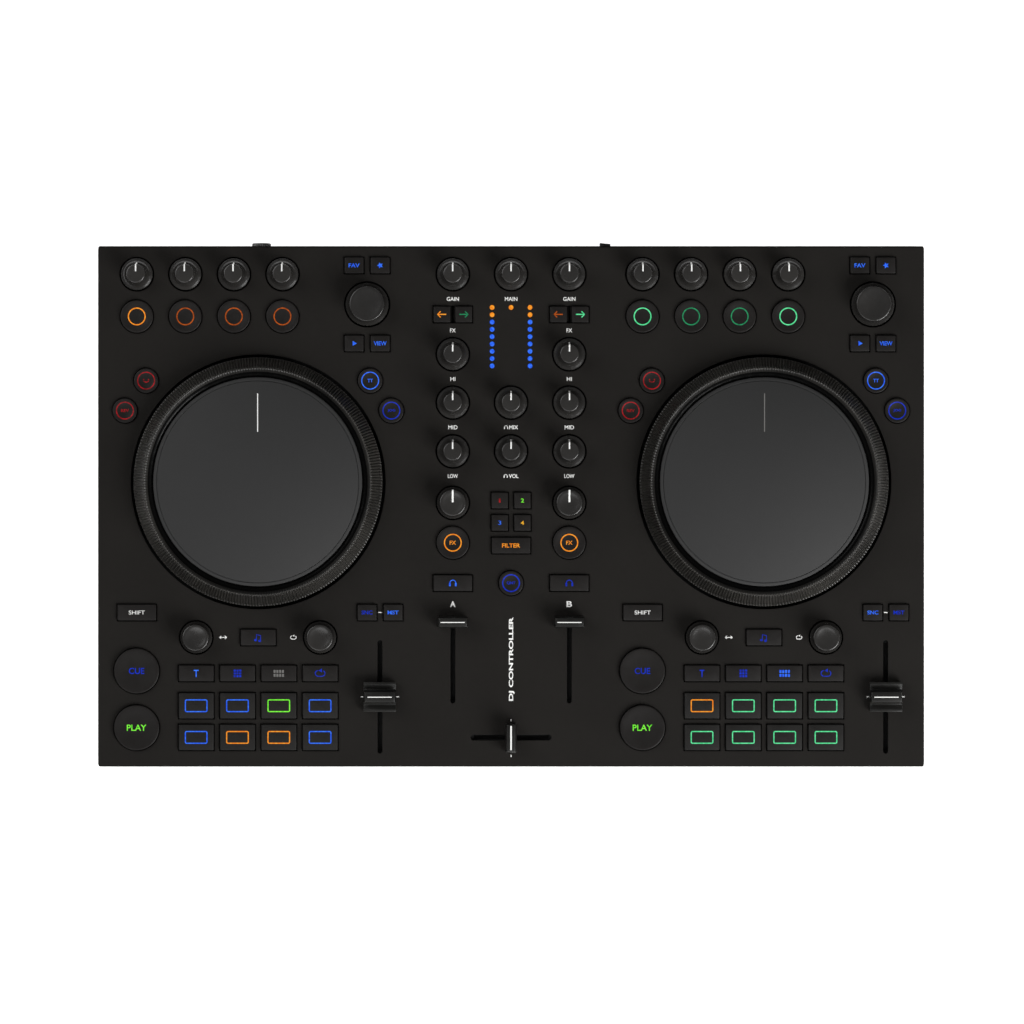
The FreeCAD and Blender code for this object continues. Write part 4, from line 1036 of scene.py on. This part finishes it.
def light_lower_keys(deck):
    """Shift, sync, master and note keys, and the four pad modes."""
    body = f"lower_keys_{deck}"
    shift, sync, master, note, *modes = key_caps[body]
    sync_slot, master_slot = DECK_LAMPS[deck]["sync"]
    key_legend(f"shift_legend_{deck}", body, "print_white", shift, (word, "SHIFT", 2.1, 8.6, 0.0))
    key_legend(f"sync_lamp_{deck}", body, sync_slot, sync, (word, "SNC", 2.1, 5.9))
    key_legend(f"master_lamp_{deck}", body, master_slot, master, (word, "MST", 2.1, 5.9))
    key_legend(f"note_lamp_{deck}", body, "lens_blue_dim", note, (notes,))
    signs = [(tee,), (squares, 3, 3, 1.1, 1.1, 1.5, 1.5), (squares, 4, 2, 1.1, 1.6, 1.5, 2.1),
             (loop, 2.6)]
    for number, (cap, slot, sign) in enumerate(zip(modes, DECK_LAMPS[deck]["modes"], signs)):
        key_legend(f"mode_lamp_{deck}_{number + 1}", body, slot, cap, sign)
    legend(f"sync_dash_{deck}", "enclosure", "print_white", (sync.x + master.x) / 2, sync.y,
           (bar, 0, 0, 1.9, 0.5))


def light_pads(deck):
    body = f"performance_pads_{deck}"
    for number, (cap, lamp) in enumerate(zip(key_caps[body], DECK_LAMPS[deck]["pads"])):
        key_legend(f"pad_lamp_{deck}_{number + 1}", body, f"lens_{lamp}", cap,
                   (box_line, 12.2, 6.9, 0.6, 1.0))


def light_transport(deck):
    for sign, slot, text, width in (("cue", "lens_blue_dim", "CUE", 8.3),
                                    ("play", "lens_lime", "PLAY", 10.5)):
        body = f"{sign}_key_{deck}"
        key_legend(f"{sign}_lamp_{deck}", body, slot, key_caps[body][0],
                   (word, text, 3.3, width, 0.012))


for deck in DECKS:
    light_upper_keys(deck)
    light_lower_keys(deck)
    light_pads(deck)
    light_transport(deck)
print("lamps so far", sum("lamp" in thing.name for thing in scene.objects))

# %% lamps of the mixer keys
MIXER_LAMPS = (
    ("assign_left_a", "lens_orange", (arrow, -1)), ("assign_right_a", "lens_mint_dim", (arrow, 1)),
    ("assign_left_b", "lens_orange_dim", (arrow, -1)), ("assign_right_b", "lens_mint", (arrow, 1)),
    ("effect_1", "lens_red", (word, "1", 2.2, 0.9, 0.0)),
    ("effect_2", "lens_lime", (word, "2", 2.2, 1.6)),
    ("effect_3", "lens_blue", (word, "3", 2.2, 1.6, 0.0)),
    ("effect_4", "lens_yellow", (word, "4", 2.2, 1.7)),
    ("channel_effect_a", "lens_orange", (word, "FX", 2.1, 3.4)),
    ("channel_effect_b", "lens_orange", (word, "FX", 2.1, 3.4)),
    ("filter_select", "lens_orange", (word, "FILTER", 2.2, 9.7)),
    ("phones_a", "lens_blue", (headphones,)),
    ("quantise", "lens_blue_dim", (word, "QNT", 1.7, 4.6)),
    ("phones_b", "lens_blue_dim", (headphones,)),
)
for cap, (sign, slot, shape) in zip(key_caps["mixer_keys"], MIXER_LAMPS):
    rings = [(ring, RING_RADIUS, RING_LINE)] if cap.round else []
    key_legend(f"{sign}_lamp", "mixer_keys", slot, cap, shape, *rings)
print("mixer lamps", [(sign, round(cap.x), round(cap.y)) for cap, (sign, _, _) in
                       zip(key_caps["mixer_keys"], MIXER_LAMPS)])

# %% [markdown]
# ## Printed labels
# The labels name the knobs above them, so each is placed from its knob's box and a drop to the
# front.  The words up the middle of the mixer are only a description of the thing, set small and
# quiet.

# %% labels under the knobs and marks by the faders
LETTER_HEIGHT = 2.1
FINE_WEIGHT = 0.012      # how much small letters are thickened
LABEL_DROP = 13.3        # from a knob's middle to its own label
EFFECT_LABEL_DROP = 30.2     # from the gain knob to the label under the assign keys
CHANNEL_LETTER_RISE = 9.7    # from a line fader's cap to the letter behind it
SIGN_DISTANCE = 14.4     # from an encoder to the sign beside it
TICK_DISTANCE = 9.6      # from a fader's slot to the ticks beside it


def print_label(name, node, across, up, *shapes):
    """Print on the panel, at a distance from the middle of a node."""
    place = middle_of(node)
    legend(name, "enclosure", "print_white", place.x + across, place.y + up, *shapes)


def print_word(name, node, drop, text, width):
    """Print a small word in front of a knob."""
    print_label(name, node, 0, -drop, (word, text, LETTER_HEIGHT, width, FINE_WEIGHT))


def headphone_word(mesh, text, width):
    letters = bmesh.new()
    word(letters, text, LETTER_HEIGHT, width)
    add_to(mesh, move(letters, 1.4, 0))
    sign = bmesh.new()
    headphones(sign, 0.85, 0.3)
    add_to(mesh, move(sign, -width / 2 - 0.3, 0))


def upright_words(mesh):
    word(mesh, "DJ CONTROLLER", 3.0, 45.0, 0.03)
    rotate(mesh, 90)


for channel, letter in (("left", "A"), ("right", "B")):
    for row, text, width in (("gain", "GAIN", 6.6), ("high", "HI", 2.7), ("mid", "MID", 5.0),
                             ("low", "LOW", 5.4)):
        print_word(f"{row}_label_{channel}", f"{row}_knob_{channel}", LABEL_DROP, text, width)
    print_word(f"effect_label_{channel}", f"gain_knob_{channel}", EFFECT_LABEL_DROP, "FX", 3.0)
    print_label(f"channel_label_{channel}", f"line_fader_{channel}", 0, CHANNEL_LETTER_RISE,
                (word, letter, 3.2, 3.0, 0.03))
print_word("main_label", "main_level_knob", LABEL_DROP, "MAIN", 6.8)
for name, text, width in (("phones_mix", "MIX", 4.8), ("phones_volume", "VOL", 5.2)):
    print_label(f"{name}_label", f"{name}_knob", 0, -LABEL_DROP, (headphone_word, text, width))

for deck in DECKS:
    print_label(f"tempo_mark_{deck}", f"tempo_fader_{deck}", 0, 0,
                (bar, -TICK_DISTANCE, 0, 1.4, 0.5), (bar, TICK_DISTANCE, 0, 1.4, 0.5))
    print_label(f"move_label_{deck}", f"move_encoder_{deck}", SIGN_DISTANCE, 0, (two_ways,))
    print_label(f"loop_label_{deck}", f"loop_encoder_{deck}", -SIGN_DISTANCE, 0, (loop, 1.5, 0.4))
print_label("crossfader_mark", "crossfader", 0, -0.3, (bar, 0, 9.5, 0.5, 1.3),
            (bar, 0, -9.6, 0.5, 1.3))
legend("panel_wording", "enclosure", "print_white", 0.3, -82.0, (upright_words,))
labels = [thing.name for thing in scene.objects if "label" in thing.name or "mark" in thing.name]
print("printed labels", len(labels))

# %% [markdown]
# ## Fader caps
# A fader cap is a saddle: low at both ends, with a ridge across the middle that the finger
# pushes.  Its side view is drawn once, pulled across, bevelled all round and its ridge ends are
# sloped.  The white line is a second shot of plastic let into the ridge.

# %% saddles
LINE_LENGTH = 13.0
LINE_PROUD = 0.03
END_SLOPE = 0.8          # how far the ends of a ridge lean in
CAP_FOOT = 41.0          # height of the underside of every cap
LEVER = (1.2, 3.5)       # section of the lever that goes down through the slot


def mirrored(points):
    """A whole side view from its rear half, from the foot to the ridge."""
    return points + [(-along, up) for along, up in reversed(points)]


def saddle(node, side_view, width, line_width, across=False):
    """A cap that slides along Y, or along X when it lies across, from its side view."""
    low, high = node_box(node)
    centre = (low + high) / 2
    mesh = bmesh.new()
    side = mesh.faces.new([mesh.verts.new((-width / 2, along, up)) for along, up in side_view])
    made = bmesh.ops.extrude_face_region(mesh, geom=[side])["geom"]
    push(mesh, made, (width, 0, 0))
    for vertex in mesh.verts:
        if vertex.co.z > high.z - 0.1:
            vertex.co.x -= math.copysign(END_SLOPE, vertex.co.x)
    bmesh.ops.recalc_face_normals(mesh, faces=mesh.faces)
    soften(mesh, mesh.edges[:], 0.25, 2, clamp=True)
    add_to(mesh, block(*LEVER, low.z, CAP_FOOT - 0.01, 0.1, 1))
    line = block(LINE_LENGTH, line_width, high.z - 0.4, high.z + LINE_PROUD, 0.02, 1)
    if across:
        rotate(mesh, 90)
        rotate(line, 90)
    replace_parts(make_piece(move(mesh, centre.x, centre.y), f"{node}_cap", node,
                           "fader_cap_plastic"), node)
    make_piece(move(line, centre.x, centre.y), f"{node}_line", node, "print_white")


RIDGE = [(3.1, CAP_FOOT), (3.1, 45.0), (2.42, 50.5), (2.3, node_box("crossfader")[1].z)]
TEMPO_RIDGE = [(7.95, CAP_FOOT), (7.95, 46.2), (6.5, 46.2), (4.5, 45.0), (3.6, 45.0),
               (2.86, 49.5), (2.7, node_box("tempo_fader_left")[1].z)]
for deck in DECKS:
    saddle(f"tempo_fader_{deck}", mirrored(TEMPO_RIDGE), 17.4, 0.5)
    saddle(f"line_fader_{deck}", mirrored(RIDGE), 16.2, 0.5)
saddle("crossfader", mirrored(RIDGE), 15.6, 0.85, across=True)
print("faders", [thing.name for thing in scene.objects if thing.name.endswith("_cap")])

# %% [markdown]
# ## Small parts
# The level meter is a set of moulded light pipes with slightly domed ends.  On the rear edge are
# a fluted knob, a rocker switch and the sockets, each with a plated collar.  The rubber feet are
# turned pads with a groove.

# %% light pipes of the level meter
LENS_RADIUS = 1.25


def light_pipe(x, y, low, high):
    outline = [(0.0, low), (LENS_RADIUS, low), (LENS_RADIUS, high - 0.35),
               (LENS_RADIUS * 0.85, high - 0.14), (LENS_RADIUS * 0.5, high - 0.03), (0.0, high)]
    return move(turn(outline, 20), x, y)


lens_low, lens_high = node_box("level_meter_lenses")
pipes = find_caps("level_meter_lenses")
loud_from = sorted({round(pipe.y, 1) for pipe in pipes})[-2]
loud, normal = bmesh.new(), bmesh.new()
for pipe in pipes:
    group = loud if pipe.y > loud_from - 0.1 else normal
    add_to(group, light_pipe(pipe.x, pipe.y, lens_low.z, lens_high.z))
make_piece(loud, "meter_pipes_loud", "enclosure", "lens_orange")
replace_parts(make_piece(normal, "meter_pipes_normal", "enclosure", "lens_blue"),
            "level_meter_lenses")
print("light pipes", len(pipes), "orange from y", loud_from, "mm")

# %% microphone knob
MIC_SHAFT = 2.0
MIC_BACK = 131.0         # where the grip starts, just behind the case
MIC_FLUTES = 36
low, high = node_box("mic_level_knob")
radius = (high.x - low.x) / 2
mic_face = high.y
outline = [(0, low.y), (MIC_SHAFT, low.y), (MIC_SHAFT, MIC_BACK), (radius, MIC_BACK),
           (radius, mic_face - 0.7)]
outline += arc_points((radius - 0.7, mic_face - 0.7), 0.7, 20, 90, 3)
outline += [(radius - 1.4, mic_face), (radius - 1.6, mic_face - 0.3), (0, mic_face - 0.3)]
mesh = turn(outline, MIC_FLUTES * 2)
flute(mesh, MIC_FLUTES * 2, 0.2, radius - 0.1, radius + 0.1, MIC_BACK - 0.1, mic_face)
rotate(mesh, -90, "X")   # its axis now points to the rear, and heights in the outline are Y
mic_centre = (low + high) / 2
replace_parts(make_piece(move(mesh, mic_centre.x, 0, mic_centre.z), "mic_level_knob_grip",
                       "mic_level_knob", "knob_plastic"), "mic_level_knob")
print("microphone knob radius", round(radius, 2), "mm")

# %% power rocker
ROCKER_X = 50.7
ROCKER_HEIGHT = 12.0
PIN_RADIUS = 1.2
PIN_Y = 135.5            # the axis that the rocker swings about
low, high = node_box("power_switch")
plan = [(-2.2, low.y), (2.2, low.y), (2.95, high.y - 0.6), (-2.95, high.y)]
mesh = bmesh.new()
rocker_foot = (low.z + high.z - ROCKER_HEIGHT) / 2
face = mesh.faces.new([mesh.verts.new((x, y, rocker_foot)) for x, y in plan])
raise_face(mesh, face, ROCKER_HEIGHT)
bmesh.ops.recalc_face_normals(mesh, faces=mesh.faces)
soften(mesh, mesh.edges[:], 0.3, 2)
pin = turn([(0, low.z), (PIN_RADIUS, low.z), (PIN_RADIUS, high.z), (0, high.z)], 24)
add_to(mesh, move(pin, 0, PIN_Y))
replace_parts(make_piece(move(mesh, ROCKER_X, 0), "power_switch_rocker", "power_switch",
                       "socket_plastic"), "power_switch")
print("rocker", round(high.y - low.y, 2), "mm deep")

# %% socket collars
SOCKET_HEIGHT = 18.0
REAR_WALL = node_box("bottom_case")[1].y
COLLAR_INNER = REAR_WALL - 2.8
COLLAR_OUTER = REAR_WALL - 0.8
BORE_RADIUS = 3.3
COLLAR_RADIUS = 5.2
COLLAR_EDGE = 0.4
COLLAR_LIP = 0.35


def collar(name, x, inner_end, outer_end):
    """A plated ring round a jack's bore, from inside the wall to just short of its face."""
    lip = outer_end + math.copysign(COLLAR_LIP, outer_end - inner_end)
    outline = [(BORE_RADIUS, inner_end), (COLLAR_RADIUS, inner_end), (COLLAR_RADIUS, outer_end),
               (COLLAR_RADIUS - COLLAR_EDGE, lip), (BORE_RADIUS + COLLAR_EDGE, lip),
               (BORE_RADIUS, outer_end)]
    mesh = rotate(turn(outline, 48, closed=True), -90, "X")
    make_piece(move(mesh, x, 0, SOCKET_HEIGHT), name, "enclosure", "bearing_metal")


for name, x in (("mic_jack_collar", -110.0), ("main_left_collar", -62.0),
                ("main_right_collar", -38.0)):
    collar(name, x, COLLAR_INNER, COLLAR_OUTER)
collar("phones_jack_collar", -190.0, -COLLAR_INNER, -COLLAR_OUTER)
print("collars", COLLAR_RADIUS * 2, "mm across")

# %% rubber feet
FOOT_RADIUS = 8.0
foot_low, foot_high = node_box("rubber_feet")
foot_x, foot_y = foot_high.x - FOOT_RADIUS, foot_high.y - FOOT_RADIUS
sole, top = foot_low.z, foot_high.z
outline = [(0, sole + 0.3), (4.6, sole + 0.3), (5.0, sole), (6.6, sole)]
outline += arc_points((FOOT_RADIUS - 0.9, sole + 0.9), 0.9, -70, 0, 4)
outline += [(FOOT_RADIUS, top), (0, top)]
feet = bmesh.new()
for x in (-foot_x, foot_x):
    for y in (-foot_y, foot_y):
        add_to(feet, move(turn(outline, 64), x, y))
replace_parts(make_piece(feet, "rubber_feet_turned", "enclosure", "foot_rubber"), "rubber_feet")
print("feet at", round(foot_x, 1), round(foot_y, 1), "mm")

# %% [markdown]
# ## The frame's own parts
# The parts that stay as they come from the frame (the panel, the case, the screws and all that is
# inside) only need their finish.  The edge rounding in each finish softens their sharp edges.

# %% finishes for the frame's parts
NODE_FINISHES = {
    "top_panel": "panel_finish", "bottom_case": "case_finish", "case_screws": "screw_steel",
    "circuit_board": "board_laminate", "key_switches": "switch_housing",
    "rotary_control_bodies": "can_steel", "jog_bearings": "bearing_metal",
    "fader_tracks": "can_steel", "sockets": "socket_plastic",
}
for name, slot in NODE_FINISHES.items():
    node = frame["nodes"][name]
    node.data.materials.clear()
    node.data.materials.append(FINISHES[slot])
unfinished = [name for name, node in frame["nodes"].items()
              if not node.hide_render and name not in NODE_FINISHES]
print("frame parts shown", len(NODE_FINISHES), "unfinished", unfinished)

# %% [markdown]
# ## Floor
# The controller lies on a light table, a sheet of opal acrylic lit from below, so the ground is
# clean white and takes no shadow.  It is a flat sheet with rounded edges, far larger than the
# controller.

# %% floor
FLOOR_SIZE = 6000
FLOOR_BOTTOM, FLOOR_TOP = -30, -0.2
GLOW_STRENGTH = 0.9
OPAL = dull_surface("opal_acrylic_light_table", "#f6f6f5", "#ffffff", 0.7, 1.5, 0.02, 0.5, 0.2)
opal_shader = OPAL.node_tree.nodes["Principled BSDF"]
opal_shader.inputs["Emission Color"].default_value = linear("#ffffff")
opal_shader.inputs["Emission Strength"].default_value = GLOW_STRENGTH
floor_mesh = block(FLOOR_SIZE, FLOOR_SIZE, FLOOR_BOTTOM, FLOOR_TOP, 5.0)
bmesh.ops.scale(floor_mesh, verts=floor_mesh.verts, vec=(MM, MM, MM))
floor_data = bpy.data.meshes.new("studio_floor")
floor_mesh.to_mesh(floor_data)
floor_mesh.free()
floor_data.materials.append(OPAL)
floor = bpy.data.objects.new("studio_floor", floor_data)
scene.collection.objects.link(floor)
floor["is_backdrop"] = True
print("floor under z", FLOOR_TOP, "mm")

# %% [markdown]
# ## Counts
# The pieces that are shown are counted with their triangles, and the five largest are named.

# %% sizes
triangles = {piece.name: sum(len(face.vertices) - 2 for face in piece.data.polygons)
             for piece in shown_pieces()}
print("pieces", len(triangles), "triangles", sum(triangles.values()))
print("largest", sorted(triangles.items(), key=lambda item: -item[1])[:5])
